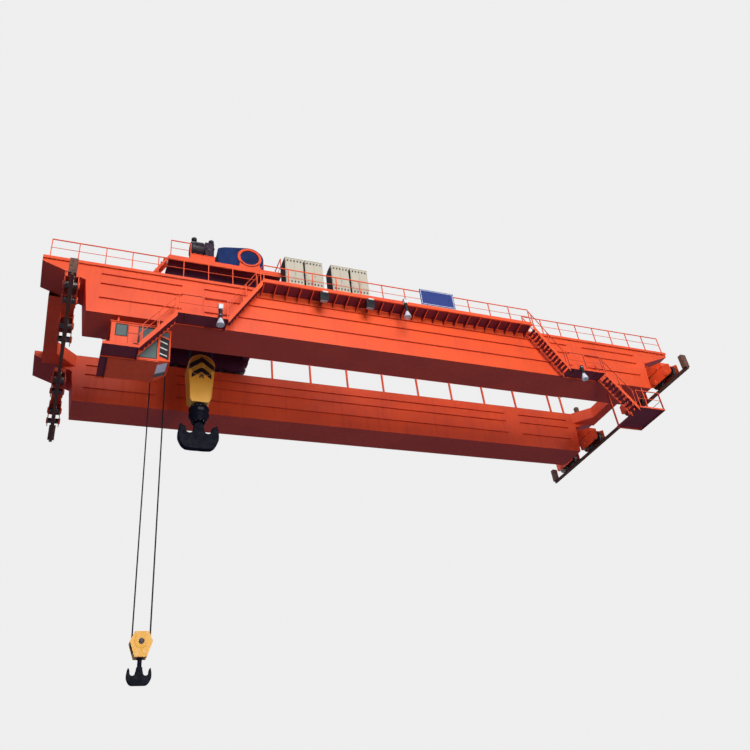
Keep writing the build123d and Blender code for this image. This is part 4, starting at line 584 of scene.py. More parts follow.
def forged_black():
    """Forged alloy steel under a coat of blue-black machine paint: hammer-soft hollows, duller
    where hands and slings have rubbed, glossier between."""
    made, tree, shader, place = start_material("forged_blue_black_paint", linear("#0F131D"), 0.0, 0.38)
    shader.inputs["Specular IOR Level"].default_value = 0.08
    blacks = [(0.3, linear("#090B13")), (0.72, linear("#121624"))]
    dents, paint = two_tones(tree, place, 90, 4.0, blacks)
    tree.links.new(paint.outputs[0], shader.inputs["Base Color"])
    rubbed = add(tree, "ShaderNodeTexNoise", {"Vector": place, "Scale": grain(260), "Detail": 5.0})
    gloss = add(tree, "ShaderNodeMapRange", {0: rubbed.outputs["Fac"], 1: 0.35, 2: 0.7, 3: 0.45, 4: 0.75})
    tree.links.new(gloss.outputs[0], shader.inputs["Roughness"])
    hollows = add(
        tree, "ShaderNodeBump", {"Height": dents.outputs["Fac"], "Strength": 0.35, "Distance": 6 * MM}
    )
    tree.links.new(hollows.outputs[0], shader.inputs["Normal"])
    return made


def tarpaulin(colours):
    """Polyester weave coated with blue vinyl: a low sheen, dust in the creases, and the base
    cloth's threads, 2 mm apart, drawn 12 mm apart so that they show."""
    made, tree, shader, place = start_material("blue_coated_tarpaulin", colours.cover, 0.0, 0.65)
    shader.inputs["Specular IOR Level"].default_value = 0.15
    shader.inputs["Sheen Weight"].default_value = 0.05
    shader.inputs["Sheen Roughness"].default_value = 0.4
    blues = [(0.3, colours.cover_shade), (0.7, colours.cover)]
    tone = two_tones(tree, place, 700, 4.0, blues)[1]
    level = add(tree, "ShaderNodeMapRange", {0: facing(tree)[2], 1: 0.7, 2: 1.0, 4: 0.22})
    dusty = add(
        tree,
        "ShaderNodeMix",
        {0: level.outputs[0], 6: tone.outputs[0], 7: linear("#6F7E93")},
        data_type="RGBA",
    )
    tree.links.new(dusty.outputs[2], shader.inputs["Base Color"])
    height = 0.0
    for direction in ("X", "Y", "Z"):
        ridges = {"Vector": place, "Scale": wave_scale(THREAD_PITCH), "Distortion": 0.3}
        wave = add(tree, "ShaderNodeTexWave", ridges, bands_direction=direction)
        height = add(tree, "ShaderNodeMath", {0: height, 1: wave.outputs["Fac"]}, operation="ADD").outputs[0]
    weave = add(tree, "ShaderNodeBump", {"Height": height, "Strength": 0.12, "Distance": 1 * MM})
    puckers = add(tree, "ShaderNodeTexNoise", {"Vector": place, "Scale": grain(160), "Detail": 3.0})
    soft = add(
        tree,
        "ShaderNodeBump",
        {"Height": puckers.outputs["Fac"], "Strength": 0.45, "Distance": 12 * MM, "Normal": weave.outputs[0]},
    )
    tree.links.new(soft.outputs[0], shader.inputs["Normal"])
    return made


def safety_glass(name, tint):
    """Toughened float glass with a grey-green body tint, slightly wavy and dusty."""
    made, tree, shader, place = start_material(name, tint, 0.0, 0.03)
    shader.inputs["Transmission Weight"].default_value = 0.6
    shader.inputs["IOR"].default_value = 1.52
    dust = add(tree, "ShaderNodeTexNoise", {"Vector": place, "Scale": grain(180), "Detail": 5.0})
    film = add(tree, "ShaderNodeMapRange", {0: dust.outputs["Fac"], 1: 0.4, 2: 0.7, 3: 0.02, 4: 0.16})
    tree.links.new(film.outputs[0], shader.inputs["Roughness"])
    return made


def moulded(name, colour, shade, roughness, grit_mm):
    """A moulded or die-cast skin with a fine even tooth and soft changes of tone."""
    made, tree, shader, place = start_material(name, colour, 0.0, roughness)
    tone = two_tones(tree, place, 220, 4.0, [(0.3, shade), (0.7, colour)])[1]
    tree.links.new(tone.outputs[0], shader.inputs["Base Color"])
    tooth = add(tree, "ShaderNodeTexNoise", {"Vector": place, "Scale": grain(grit_mm), "Detail": 2.0})
    bump = add(tree, "ShaderNodeBump", {"Height": tooth.outputs["Fac"], "Strength": 0.2, "Distance": 1 * MM})
    tree.links.new(bump.outputs[0], shader.inputs["Normal"])
    return made


def make_finishes(colours):
    """Every finish on the crane, by a short name that the pieces ask for."""
    cream = (colours.cabinet, linear("#C9C1AC"), linear("#BDB8AA"))
    blue = (colours.board, linear("#22386E"), linear("#6E7C9C"))
    white = (linear("#E4E8EE"), linear("#BFC5D0"), linear("#C9CCD2"))
    machine = (colours.machine, linear("#2A2228"), linear("#6A5E5E"))
    underframe_shade = (colours.underframe_shade, linear("#2A141F"), linear("#5A3A40"))
    FINISHES.update(
        girder=girder_enamel(colours),
        orange=orange_enamel(colours),
        deck=deck_enamel(colours),
        block=block_enamel(colours),
        # Powder coat, baked on folded sheet: smooth, half matt, cleaner than the sprayed enamel.
        cream=enamel("cabinet_cream_powder_coat", *cream, 0.15)[0],
        blue=enamel("notice_blue_stove_enamel", *blue, 0.2, 0.3)[0],
        white=enamel("notice_white_stove_enamel", *white, 0.1)[0],
        # Machine enamel over cast iron: darker, oilier and rougher than the steelwork's.
        machine=enamel("hoist_machine_enamel", *machine, 0.6, 0.36)[0],
        # Dark maroon enamel on the trolley's frame and wheel boxes: painted shade, the shade under the
        # trolley painted into its colour.
        under=enamel("underframe_painted_shade", *underframe_shade, 0.5, 0.45)[0],
        rail=rolled_rail_steel(),
        # Forged and turned wheel steel, oiled: grey with a warm film.
        wheel=metal("forged_wheel_steel", linear("#8A8683"), linear("#4B423D"), 0.38, 90, 16),
        # Greased wire rope: nearly black between the strands, with dull wire on their crowns.
        rope=metal("greased_wire_rope", linear("#5A5A60"), linear("#26262B"), 0.5, 40, 8, 0.5),
        # Zinc plated bolts and clips.
        zinc=metal("zinc_plated_steel", linear("#A9ACAF"), linear("#77797C"), 0.34, 30, 8),
        forged=forged_black(),
        tarp=tarpaulin(colours),
        glass=safety_glass("tinted_safety_glass", linear("#8FA6A0")),
        lens=safety_glass("prismatic_lamp_glass", linear("#E6ECEC")),
        # Black window rubber: matt, a little bloomed.
        rubber=moulded("black_window_rubber", linear("#1D1E20"), linear("#141415"), 0.7, 10),
        # Pressure die-cast lamp housing, dark grey and finely rough.
        casting=moulded("dark_die_casting", linear("#1B1C20"), linear("#121316"), 0.5, 9),
        plastic=moulded("white_moulded_polycarbonate", linear("#ECEBE6"), linear("#D6D5CF"), 0.32, 14),
        # Spun reflector in white stove enamel, a little greyed.
        spun=moulded("white_enamelled_reflector", linear("#DADCDF"), linear("#BFC2C7"), 0.35, 20),
    )


# Settings that a user would change


def colour_setting(name, description, code):
    """A colour in the panel, with its usual value as a hex code."""
    return bpy.props.FloatVectorProperty(
        name=name, description=description, subtype="COLOR", size=4, min=0.0, max=1.0, default=linear(code)
    )


def length_setting(name, description, value):
    """A length in the panel, in metres."""
    return bpy.props.FloatProperty(name=name, description=description, unit="LENGTH", default=value, min=0.0)


def light_setting(name, description, value):
    """A lamp's power in the panel, in watts, or a plain strength."""
    return bpy.props.FloatProperty(name=name, description=description, default=value, min=0.0)


class CraneColours(bpy.types.PropertyGroup):
    """The colours of the crane's paints and its canvas, and the colours of the shade painted under the decks,
    under the trolley and on the block's covers.
    """

    orange: colour_setting("Orange", "Fresh enamel on the steelwork", "#F45A28")
    orange_shade: colour_setting("Stained orange", "The enamel's darker patches", "#C04030")
    orange_dust: colour_setting("Dusty orange", "The enamel where dust lies on it", "#C9714C")
    # Painted shade: this dark colour is mixed into the undersides of the girders and decks and the brackets'
    # flanks, where shade falls.
    deck: colour_setting("Deck", "Sooty enamel under the decks", "#6A2A3A")
    block: colour_setting("Amber", "Fresh enamel on the hook block", "#FBBC3E")
    block_shade: colour_setting("Stained amber", "The hook block's darker patches", "#DE9A34")
    # Painted shade: the dark amber that stands for the shade on the block's round covers.
    block_cover_shade: colour_setting("Greasy amber", "The block's round covers under grease", "#76562C")
    block_dust: colour_setting("Dusty amber", "The hook block where dust lies on it", "#C2A26A")
    cabinet: colour_setting("Cream", "Powder coat on the electric cabinets", "#BEB7A1")
    board: colour_setting("Notice blue", "Stove enamel on the notice board", "#34427E")
    # Painted shade: the dark maroon that stands for the shade under the trolley.
    underframe_shade: colour_setting("Primer", "Greased primer under the trolley", "#5A2A40")
    machine: colour_setting("Machine", "Enamel on the motors and gear cases", "#33202E")
    cover: colour_setting("Canvas blue", "The drum cover's coated cloth", "#163268")
    cover_shade: colour_setting("Canvas shade", "The drum cover where it has greyed", "#101F45")


class StageSettings(bpy.types.PropertyGroup):
    """The floor, the light and the backdrop."""

    floor_drop: length_setting("Floor drop", "How far the floor lies under the girders", 26.2)
    floor_size: length_setting("Floor size", "The length of the floor's side", 400.0)
    backdrop: light_setting("Backdrop", "How bright the backdrop shows, where 1 is white", 0.86)
    sky: light_setting("Sky", "How strongly the backdrop lights the crane", 0.37)
    key: light_setting("Key", "The front softbox, in watts", 21500.0)
    low: light_setting("Low", "The softbox below, in watts", 5200.0)
    rear: light_setting("Rear", "The softbox behind, in watts", 9000.0)
    fill: light_setting("Fill", "The side softbox, in watts", 5000.0)
    top: light_setting("Top", "The overhead softbox, in watts", 9000.0)


class BridgeSizes(bpy.types.PropertyGroup):
    """Sizes of what is fitted to the bridge."""

    bracket_plate: length_setting("Bracket plate", "Thickness of the added walkway brackets", 0.02)
    clip_pitch: length_setting("Clip pitch", "Spacing of the trolley rails' clips", 0.65)
    bolt: length_setting("Bolt", "Width of a bolt's head across its corners", 0.06)
    window_frame: length_setting("Window frame", "Width of the rubber round a pane", 0.05)
    slot_length: length_setting("Vent slot", "Width of a cabinet's vent slot", 0.085)


class TrolleySizes(bpy.types.PropertyGroup):
    """Sizes of what is fitted to the trolley."""

    fold: length_setting("Fold", "Depth of the drum cover's folds", 0.035)
    fin: length_setting("Fin", "Height of a motor's cooling fins", 0.035)


class HoistSizes(bpy.types.PropertyGroup):
    """Sizes of the hooks, the blocks and their ropes."""

    lay: length_setting("Lay", "Length in which a rope's strands go once round", 0.6)
    forging: length_setting("Forging", "Mesh size at which the hooks are blended", 0.025)


# Stage

PHOTO_SIDE = 750.0
FOCAL_PX = 796.33
CENTRE_DOWN_PX = 334.0
SENSOR_MM = 36.0
EYE = MIDDLE + Vector((-16.886, -36.238, -24.707))
EYE_RIGHT = Vector((0.9267, -0.3595, -0.1100))
EYE_DOWN = Vector((0.1351, 0.5916, -0.7948))
EYE_AHEAD = Vector((0.3508, 0.7217, 0.5968))


def make_camera():
    """The photo's camera: its place, its turn, and the small shift that its framing needs."""
    data = bpy.data.cameras.new("photo_camera")
    camera = bpy.data.objects.new("photo_camera", data)
    bpy.context.scene.collection.objects.link(camera)
    turn = Matrix((EYE_RIGHT, -EYE_DOWN, -EYE_AHEAD)).transposed()
    camera.matrix_world = Matrix.Translation(EYE) @ turn.to_4x4()
    data.sensor_width = SENSOR_MM
    data.lens = FOCAL_PX / PHOTO_SIDE * SENSOR_MM
    data.shift_y = CENTRE_DOWN_PX / PHOTO_SIDE - 0.5
    data.clip_end = 2000.0
    bpy.context.scene.camera = camera


def softbox(name, place, aim, size, watts):
    """A square lamp with soft edges, turned towards a point."""
    data = bpy.data.lights.new(name, "AREA")
    data.energy = watts
    data.size = size
    lamp = bpy.data.objects.new(name, data)
    bpy.context.scene.collection.objects.link(lamp)
    lamp.location = place
    lamp.rotation_euler = (Vector(aim) - Vector(place)).to_track_quat("-Z", "Y").to_euler()


def pale_rays(tree):
    """1 for the rays that see a surface, also through glass, 0 for those that light others."""
    path = add(tree, "ShaderNodeLightPath").outputs
    kinds = {0: path["Is Camera Ray"], 1: path["Is Transmission Ray"]}
    return add(tree, "ShaderNodeMath", kinds, operation="MAXIMUM").outputs[0]


def make_world(sky, backdrop):
    """A plain world: pale where it is seen, and a softer light on the crane."""
    world = bpy.data.worlds.new("pale_studio")
    world.use_nodes = True
    tree = world.node_tree
    light = tree.nodes["Background"]
    light.inputs["Color"].default_value = linear("#C8C6F0")
    light.inputs["Strength"].default_value = sky
    seen = add(tree, "ShaderNodeBackground", {"Color": linear("#FFFFFF"), "Strength": backdrop})
    both = add(tree, "ShaderNodeMixShader", {0: pale_rays(tree), 1: light.outputs[0], 2: seen.outputs[0]})
    tree.links.new(both.outputs[0], tree.nodes["World Output"].inputs["Surface"])
    bpy.context.scene.world = world


FLOOR_GLOW = 0.5


def floor_finish():
    """Pale trowelled concrete with a faint mottle. It glows a little where it is seen, so that it
    stays pale right out to its edges, and throws a muted light back up."""
    made, tree, shader, place = start_material("pale_trowelled_floor", linear("#D9DADB"), 0.0, 0.7)
    greys = [(0.3, linear("#D3D4D5")), (0.7, linear("#DEDFE0"))]
    tone = two_tones(tree, place, 3000, 5.0, greys)[1]
    seen = add(
        tree,
        "ShaderNodeMix",
        {0: pale_rays(tree), 6: linear("#83808F"), 7: tone.outputs[0]},
        data_type="RGBA",
    )
    tree.links.new(seen.outputs[2], shader.inputs["Base Color"])
    tree.links.new(tone.outputs[0], shader.inputs["Emission Color"])
    glow = add(tree, "ShaderNodeMath", {0: pale_rays(tree), 1: FLOOR_GLOW}, operation="MULTIPLY")
    tree.links.new(glow.outputs[0], shader.inputs["Emission Strength"])
    return made


class CRANE_OT_stage(bpy.types.Operator):
    """Set up the camera, the plain floor, the softboxes and the pale world"""

    bl_idname = "crane.stage"
    bl_label = "Stage"

    def execute(self, context):
        """Make the stage."""
        settings = context.scene.crane_stage
        make_camera()
        make_world(settings.sky, settings.backdrop)
        half = settings.floor_size / 2
        level = MIDDLE.z - settings.floor_drop
        mesh = bpy.data.meshes.new("studio_floor")
        corners = [(-half, -half, level), (half, -half, level), (half, half, level), (-half, half, level)]
        mesh.from_pydata(corners, [], [(0, 1, 2, 3)])
        mesh.materials.append(floor_finish())
        floor = bpy.data.objects.new("studio_floor", mesh)
        context.scene.collection.objects.link(floor)
        floor.location = (MIDDLE.x, MIDDLE.y, 0.0)
        aim = MIDDLE + Vector((0.0, 0.0, 1.0))
        far_web = aim + Vector((4.0, 4.0, 0.0))
        softbox("front_softbox", aim + Vector((-5.0, -52.0, 11.0)), aim, 26.0, settings.key)
        softbox("low_softbox", aim + Vector((4.0, -48.0, -22.0)), far_web, 14.0, settings.low)
        softbox("side_softbox", aim + Vector((55.0, -20.0, 6.0)), aim, 22.0, settings.fill)
        softbox("overhead_softbox", aim + Vector((-6.0, 6.0, 48.0)), aim, 30.0, settings.top)
        softbox("rear_softbox", aim + Vector((6.0, 54.0, 14.0)), aim, 24.0, settings.rear)
        context.scene.view_settings.view_transform = "Standard"
        return {"FINISHED"}


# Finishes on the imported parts

ENDS = ("left", "right")
RANKS = ("near", "far")
NODE_FINISHES = {
    "girder": [f"{rank}_girder" for rank in RANKS],
    "orange": [
        *(f"{part}_{end}" for part in ("end_beam", "balance_beams", "bogies") for end in ENDS),
        *(f"{part}_{rank}" for part in ("walkway_railing", "end_railings") for rank in RANKS),
        "cab_walls",
        "cab_floor",
        "cab_roof",
        "trolley_railing",
        "trolley_stair",
        "drum_pedestals",
        "cover_ring",
    ],
    "deck": [
        *(f"{part}_{end}" for part in ("upper_stair", "lower_stair", "lower_platform") for end in ENDS),
        "right_landing",
        "cab_platform",
        "walkway_near",
        "walkway_far",
        "trolley_deck",
    ],
    "under": ["trolley_frame"],
    "rail": [
        *(f"runway_rail_{end}" for end in ENDS),
        *(f"trolley_rail_{rank}" for rank in RANKS),
    ],
    "wheel": [
        *(f"travel_wheels_{end}" for end in ENDS),
        "trolley_wheels",
        "main_drum",
        "main_upper_sheaves",
        "aux_upper_sheaves",
        "main_block_sheaves",
        "aux_block_sheaves",
    ],
    "glass": ["cab_glass"],
    "cream": ["electric_cabinets"],
    "blue": ["notice_board"],
    "casting": ["walkway_lamps"],
    "tarp": ["drum_cover"],
    "machine": [f"hoist_winch_{rank}" for rank in RANKS],
    "rope": ["main_ropes", "aux_ropes"],
    "block": ["main_block_housing", "aux_block_housing"],
    "forged": ["main_crosshead", "main_hook", "aux_hook"],
}


class CRANE_OT_finishes(bpy.types.Operator):
    """Make the paints, metals and cloth, and lay them on the crane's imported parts"""

    bl_idname = "crane.finishes"
    bl_label = "Finishes"

    def execute(self, context):
        """Make each finish and give it to its parts."""
        make_finishes(context.scene.crane_colours)
        for key, names in NODE_FINISHES.items():
            for name in names:
                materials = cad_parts[name].data.materials
                materials.clear()
                materials.append(FINISHES[key])
        return {"FINISHED"}


# Pieces fitted to the bridge

RIB_WIDTH = 0.09
TOE_BOARD = 0.18
BRACKET_TIP = 0.06
BRACKET_PITCH = 1.3
BRACKET_END = 0.1
LIP_WIDTH = 0.05
LIP_PLATE = 0.012
LIP_CORNERS = ((-1, 0), (1, 0), (1, 1), (-1, 1))
GUTTER_LAP = 0.01
GUTTER_WIDTH = 0.07
GUTTER_DEPTH = 0.05


def walkway_piece(node, side, name, sizes):
    """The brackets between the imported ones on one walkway, and the pale lip under every bracket."""
    low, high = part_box(node)
    under = high.z - TOE_BOARD
    if side < 0:
        tip, wall = low.y + BRACKET_TIP, high.y
    else:
        tip, wall = high.y - BRACKET_TIP, low.y
    heel = wall + side * RIB_WIDTH
    outline = [(tip, under), (tip, under - BRACKET_TIP), (heel, low.z), (wall, low.z), (wall, under)]
    shape = Shape()
    packed = spaced(low.x + BRACKET_END, high.x - BRACKET_END, BRACKET_PITCH)
    added = [(a + b) / 2 for a, b in zip(packed, packed[1:])]
    half = sizes.bracket_plate / 2
    for x in added:
        shape.prism(outline, 0, x - half, x + half)
    shape.skin = 1
    half = LIP_WIDTH / 2
    for x in packed + added:
        rings = []
        for y, z in ((tip, under - BRACKET_TIP), (heel, low.z)):
            rings.append([(x + half * i, y, z - LIP_PLATE * j) for i, j in LIP_CORNERS])
        shape.loft(rings)
    # A gutter angle along the walkway's outer edge stiffens the deck between brackets.
    first, last = sorted((tip - side * GUTTER_LAP, tip + side * GUTTER_WIDTH))
    shape.block((low.x, first, under - GUTTER_DEPTH), (high.x, last, under))
    shape.make(name, "bridge", "painted_orange", "deck orange", 0.003)


class CRANE_OT_walkway_brackets(bpy.types.Operator):
    """Add the walkways' closer brackets, their lips and the stiffening edge angle"""

    bl_idname = "crane.walkway_brackets"
    bl_label = "Walkway Brackets"

    def execute(self, context):
        """Make the brackets of the near and the far walkway."""
        sizes = context.scene.crane_bridge
        walkway_piece("walkway_near", -1, "near_walkway_brackets", sizes)
        walkway_piece("walkway_far", 1, "far_walkway_brackets", sizes)
        return {"FINISHED"}


# Places of the supply track's posts are measured from the girder's middle.
TRACK_START = -15.0
TRACK_END = 13.6
TRACK_PITCH = 2.6
TRACK_LAST_POSTS = (16.6, 17.7)
TRACK_RISE = 3.0
TRACK_POST = 0.11
TRACK_FOOT = 0.26
TRACK_PLATE = 0.02
TRACK_DEPTH = 0.14


class CRANE_OT_supply_track(bpy.types.Operator):
    """Stand the posts and the rail of the trolley's supply cable on the far girder's outer edge"""

    bl_idname = "crane.supply_track"
    bl_label = "Supply Track"

    def execute(self, context):
        """Make square posts on foot plates, and an I-section along their tops."""
        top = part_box("far_girder")[1]
        y = top.y - TRACK_FOOT / 2
        level = top.z + TRACK_RISE
        under = level - TRACK_DEPTH
        post = TRACK_POST / 2
        web = TRACK_PLATE / 2
        places = spaced(TRACK_START, TRACK_END, TRACK_PITCH) + list(TRACK_LAST_POSTS)
        shape = Shape()
        for place in places:
            x = place + MIDDLE.x
            shape.box_at((x, y, top.z + web), (TRACK_FOOT, TRACK_FOOT, TRACK_PLATE))
            shape.block((x - post, y - post, top.z + TRACK_PLATE), (x + post, y + post, under))
        start = MIDDLE.x + places[0] - TRACK_FOOT
        end = MIDDLE.x + places[-1] + TRACK_FOOT
        for half, z0, z1 in (
            (post, level - TRACK_PLATE, level),
            (post, under, under + TRACK_PLATE),
            (web, under, level),
        ):
            shape.block((start, y - half, z0), (end, y + half, z1))
        shape.make("supply_track_posts", "bridge", "painted_orange", "orange", 0.003)
        return {"FINISHED"}


CLIP_SIZE = Vector((0.12, 0.1, 0.022))
CLIP_PAD = 0.04
CLIP_END = 0.5
CLIP_LAP = 0.03
CLIP_LIFT = 0.027
RAIL_FOOT_HALF = 0.075


def rail_clips(node, name, sizes):
    """Forged clips with bolts, on both edges of a trolley rail's foot."""
    low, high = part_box(node)
    centre = (low.y + high.y) / 2
    shape = Shape()
    bolts = Shape()
    for x in spaced(low.x + CLIP_END, high.x - CLIP_END, sizes.clip_pitch):
        for side in SIDES:
            y = centre + side * (RAIL_FOOT_HALF + CLIP_SIZE.y / 2 - CLIP_LAP)
            z = low.z + CLIP_LIFT + CLIP_SIZE.z / 2
            shape.box_at((x, y, z), CLIP_SIZE)
            pad = (CLIP_SIZE.x, CLIP_PAD, CLIP_LIFT)
            shape.box_at((x, y + side * CLIP_LAP, low.z + CLIP_LIFT / 2), pad)
            bolts.bolt((x, y + side * 0.01, z + CLIP_SIZE.z / 2), 2, sizes.bolt * 0.8)
    shape.make(name, "bridge", "rail_steel", "rail", 0.003)
    bolts.make(name + "_bolts", "bridge", "rail_steel", "zinc")


class CRANE_OT_rail_clips(bpy.types.Operator):
    """Hold the trolley rails down with bolted clips"""

    bl_idname = "crane.rail_clips"
    bl_label = "Rail Clips"

    def execute(self, context):
        """Make the clips along both trolley rails."""
        for rank in RANKS:
            rail_clips(f"trolley_rail_{rank}", f"{rank}_rail_clips", context.scene.crane_bridge)
        return {"FINISHED"}


WHEEL_BASE = 1.12
BOGIE_APART = 3.12
BOGIE_END = 0.43
# Each cap's profile as (radius, height over its cheek).
AXLE_CAP = ((0.19, 0.0), (0.19, 0.02), (0.16, 0.03), (0.15, 0.055), (0.06, 0.06))
AXLE_BOLTS = 0.17
BOGIE_PIN = ((0.13, 0.0), (0.13, 0.025), (0.1, 0.035))
BOGIE_PIN_RISE = 0.14
BEAM_PIN = ((0.17, 0.0), (0.17, 0.03), (0.13, 0.045))
BEAM_PIN_DROP = 0.22


def bearing_caps(end, sizes):
    """Bolted bearing caps on both cheeks of the bogies at one end, and the pivot pins above."""
    frame_low, frame_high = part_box(f"bogies_{end}")
    wheel_low, wheel_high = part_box(f"travel_wheels_{end}")
    beam_low, beam_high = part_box(f"balance_beams_{end}")
    axle_z = (wheel_low.z + wheel_high.z) / 2
    girder_y = frame_high.y - BOGIE_APART / 2 - WHEEL_BASE / 2 - BOGIE_END
    pin_z = beam_low.z + BOGIE_PIN_RISE
    caps = Shape()
    bolts = Shape()
    for cheek, x in ((-1, frame_low.x), (1, frame_high.x)):
        for near, bogie, wheel in product(SIDES, repeat=3):
            y = near * girder_y + bogie * BOGIE_APART / 2 + wheel * WHEEL_BASE / 2
            caps.cap(AXLE_CAP, (x, y, axle_z), 0, cheek)
            place = (x + cheek * 0.02, y, axle_z)
            bolts.bolt_ring(place, 0, AXLE_BOLTS, 6, sizes.bolt * 0.55, cheek, 0.5)
    for cheek, x in ((-1, beam_low.x), (1, beam_high.x)):
        for near in SIDES:
            for bogie in SIDES:
                y = near * girder_y + bogie * BOGIE_APART / 2
                caps.cap(BOGIE_PIN, (x, y, pin_z), 0, cheek, 28)
                bolts.bolt((x + cheek * 0.03, y, pin_z), 0, sizes.bolt * 0.9, cheek)
            caps.cap(BEAM_PIN, (x, near * girder_y, beam_high.z - BEAM_PIN_DROP), 0, cheek)
    caps.make(f"{end}_bearing_caps", "bridge", "painted_orange", "orange", 0.004)
    bolts.make(f"{end}_bearing_bolts", "bridge", "rail_steel", "zinc")


SPLICE_PLATE = (0.62, 0.42, 0.016)
SPLICE_INSET = 0.28
SPLICE_ROWS = (-2, -1, 0, 1, 2)
SPLICE_COLUMNS = (-1.5, -0.5, 0.5, 1.5)
SPLICE_PITCH = (0.13, 0.1)


def end_beam_bolts(end, sizes):
    """Splice plates with rows of bolts where an end beam meets the girders."""
    low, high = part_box(f"end_beam_{end}")
    plates = Shape()
    bolts = Shape()
    middle = (low.x + high.x) / 2
    for near in SIDES:
        y = near * (high.y - SPLICE_INSET)
        plates.box_at((middle, y, high.z + SPLICE_PLATE[2] / 2), SPLICE_PLATE)
        for i, j in product(SPLICE_ROWS, SPLICE_COLUMNS):
            place = (middle + i * SPLICE_PITCH[0], y + j * SPLICE_PITCH[1], high.z + SPLICE_PLATE[2])
            bolts.bolt(place, 2, sizes.bolt * 0.7)
    plates.make(f"{end}_splice_plates", "bridge", "painted_orange", "orange", 0.003)
    bolts.make(f"{end}_splice_bolts", "bridge", "rail_steel", "zinc")


class CRANE_OT_travel_gear(bpy.types.Operator):
    """Fit bearing caps, pivot pins and splice bolts at the bridge's ends"""

    bl_idname = "crane.travel_gear"
    bl_label = "Travel Gear"

    def execute(self, context):
        """Make the caps, pins and splices of both ends."""
        for end in ENDS:
            bearing_caps(end, context.scene.crane_bridge)
            end_beam_bolts(end, context.scene.crane_bridge)
        return {"FINISHED"}


# Cabinets and board

CABINET_PLACES = (0.0, 1.12, 2.66, 3.79)
CABINET_WIDTH = 1.02
CABINET_LIP = 0.02
CABINET_LID = 0.035
CABINET_FOOT = 0.06
CABINET_DEPTH = 0.85
DOOR_GAP = 0.006
DOOR_EDGE = 0.04
DOOR_FOOT = 0.06
DOOR_PLATE = 0.022
VENT_DROPS = (0.2, 1.68)
VENT_EDGE = 0.14
# One louvre's section, in halves of a slot.
LOUVRE = ((-1, -0.3), (1, 0.1), (1, 1), (-1, 0.6))
HINGE_EDGE = 0.03
HINGE_DROP = 0.25
EYE_PLACES = (0.12, 0.9)
EYE_RADIUS = 0.035
EYE_BAR = 0.009


def cabinet_doors(shape, x0, x1, y, low, high, sizes):
    """A cabinet's front: two doors, five louvred vents high and low in black, which paint the shade
    inside the vents, black plates on its sides, which paint the shade between the cabinets, a handle and
    hinges."""
    middle = (x0 + x1) / 2
    shape.skin = 0
    for left, right in ((x0 + DOOR_EDGE, middle - DOOR_GAP), (middle + DOOR_GAP, x1 - DOOR_EDGE)):
        shape.block((left, y - DOOR_PLATE, low + DOOR_FOOT), (right, y, high - DOOR_FOOT))
    # Painted shade: the louvres are black, for the shade inside the vents.
    shape.skin = 1
    half = sizes.slot_length / 2
    vents = spaced(x0 + VENT_EDGE, x1 - VENT_EDGE, (x1 - x0 - 2 * VENT_EDGE) / 4)
    for drop, x, k in product(VENT_DROPS, vents, (-1, 0, 1)):
        z = high - drop + k * half * 1.05
        slot = [(x + half * u, z + half * v) for u, v in LOUVRE]
        shape.prism(slot, 1, y - 0.026, y - 0.02)
    # Painted shade: thin black plates on both sides stand for the shade between the cabinets.
    for x in (x0 - 0.006, x1 + 0.001):
        shape.block((x, y + 0.01, low), (x + 0.005, y + CABINET_DEPTH, high - 0.01))
    shape.skin = 2
    centre = (low + high) / 2
    shape.box_at((middle + 0.05, y - 0.035, centre), (0.02, 0.025, 0.12))
    for x in (x0 + HINGE_EDGE, x1 - HINGE_EDGE):
        for z in (low + HINGE_DROP, centre, high - HINGE_DROP):
            shape.turned([(0.014, -0.05), (0.014, 0.05)], (x, y - 0.02, z), 2, 12)


class CRANE_OT_cabinets(bpy.types.Operator):
    """Fit doors, vents, hinges, handles and lifting eyes to the electric cabinets"""

    bl_idname = "crane.cabinets"
    bl_label = "Electric Cabinets"

    def execute(self, context):
        """Make the fronts and the lifting eyes of the four cabinets."""
        low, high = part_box("electric_cabinets")
        shape = Shape()
        front = low.y + CABINET_LIP
        for place in CABINET_PLACES:
            x0 = low.x + CABINET_LIP + place
            levels = (low.z + CABINET_FOOT, high.z - CABINET_LID)
            cabinet_doors(shape, x0, x0 + CABINET_WIDTH, front, *levels, context.scene.crane_bridge)
            for reach in EYE_PLACES:
                eye = (x0 + reach, (low.y + high.y) / 2, high.z + 0.045)
                shape.hoop(eye, EYE_RADIUS, EYE_BAR, 16)
        shape.make("cabinet_fronts", "bridge", "cabinet_cream", "cream rubber zinc", 0.003)
        return {"FINISHED"}


BORDER_INSET = 0.05
BORDER_WIDTH = 0.028
BORDER_PROUD = 0.003
STRAP_INSET = 0.35
STRAP_HALF = 0.025


class CRANE_OT_notice_board(bpy.types.Operator):
    """Give the notice board its white border and the straps that hold it on the railing"""

    bl_idname = "crane.notice_board"
    bl_label = "Notice Board"

    def execute(self, context):
        """Make the border, the straps and their bolts."""
        low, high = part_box("notice_board")
        front = low.y - BORDER_PROUD
        behind = low.y + 0.001
        x0, x1 = low.x + BORDER_INSET, high.x - BORDER_INSET
        z0, z1 = low.z + BORDER_INSET, high.z - BORDER_INSET
        shape = Shape()
        for z in (z0, z1 - BORDER_WIDTH):
            shape.block((x0, front, z), (x1, behind, z + BORDER_WIDTH))
        for x in (x0, x1 - BORDER_WIDTH):
            shape.block((x, front, z0), (x + BORDER_WIDTH, behind, z1))
        shape.make("board_border", "bridge", "board_blue", "white")
        straps = Shape()
        for x in (low.x + STRAP_INSET, high.x - STRAP_INSET):
            foot = (x - STRAP_HALF, high.y, low.z + 0.04)
            straps.block(foot, (x + STRAP_HALF, high.y + 0.006, high.z - 0.04))
            for z in (low.z + 0.15, high.z - 0.15):
                straps.bolt((x, low.y, z), 1, 0.03, -1)
        straps.make("board_straps", "bridge", "lamp_metal", "zinc", 0.001)
        return {"FINISHED"}


# Driver's cab

UP = Vector((0, 0, 1))
CORNER_LENGTH = 2.23
CORNER_STEP = 0.28
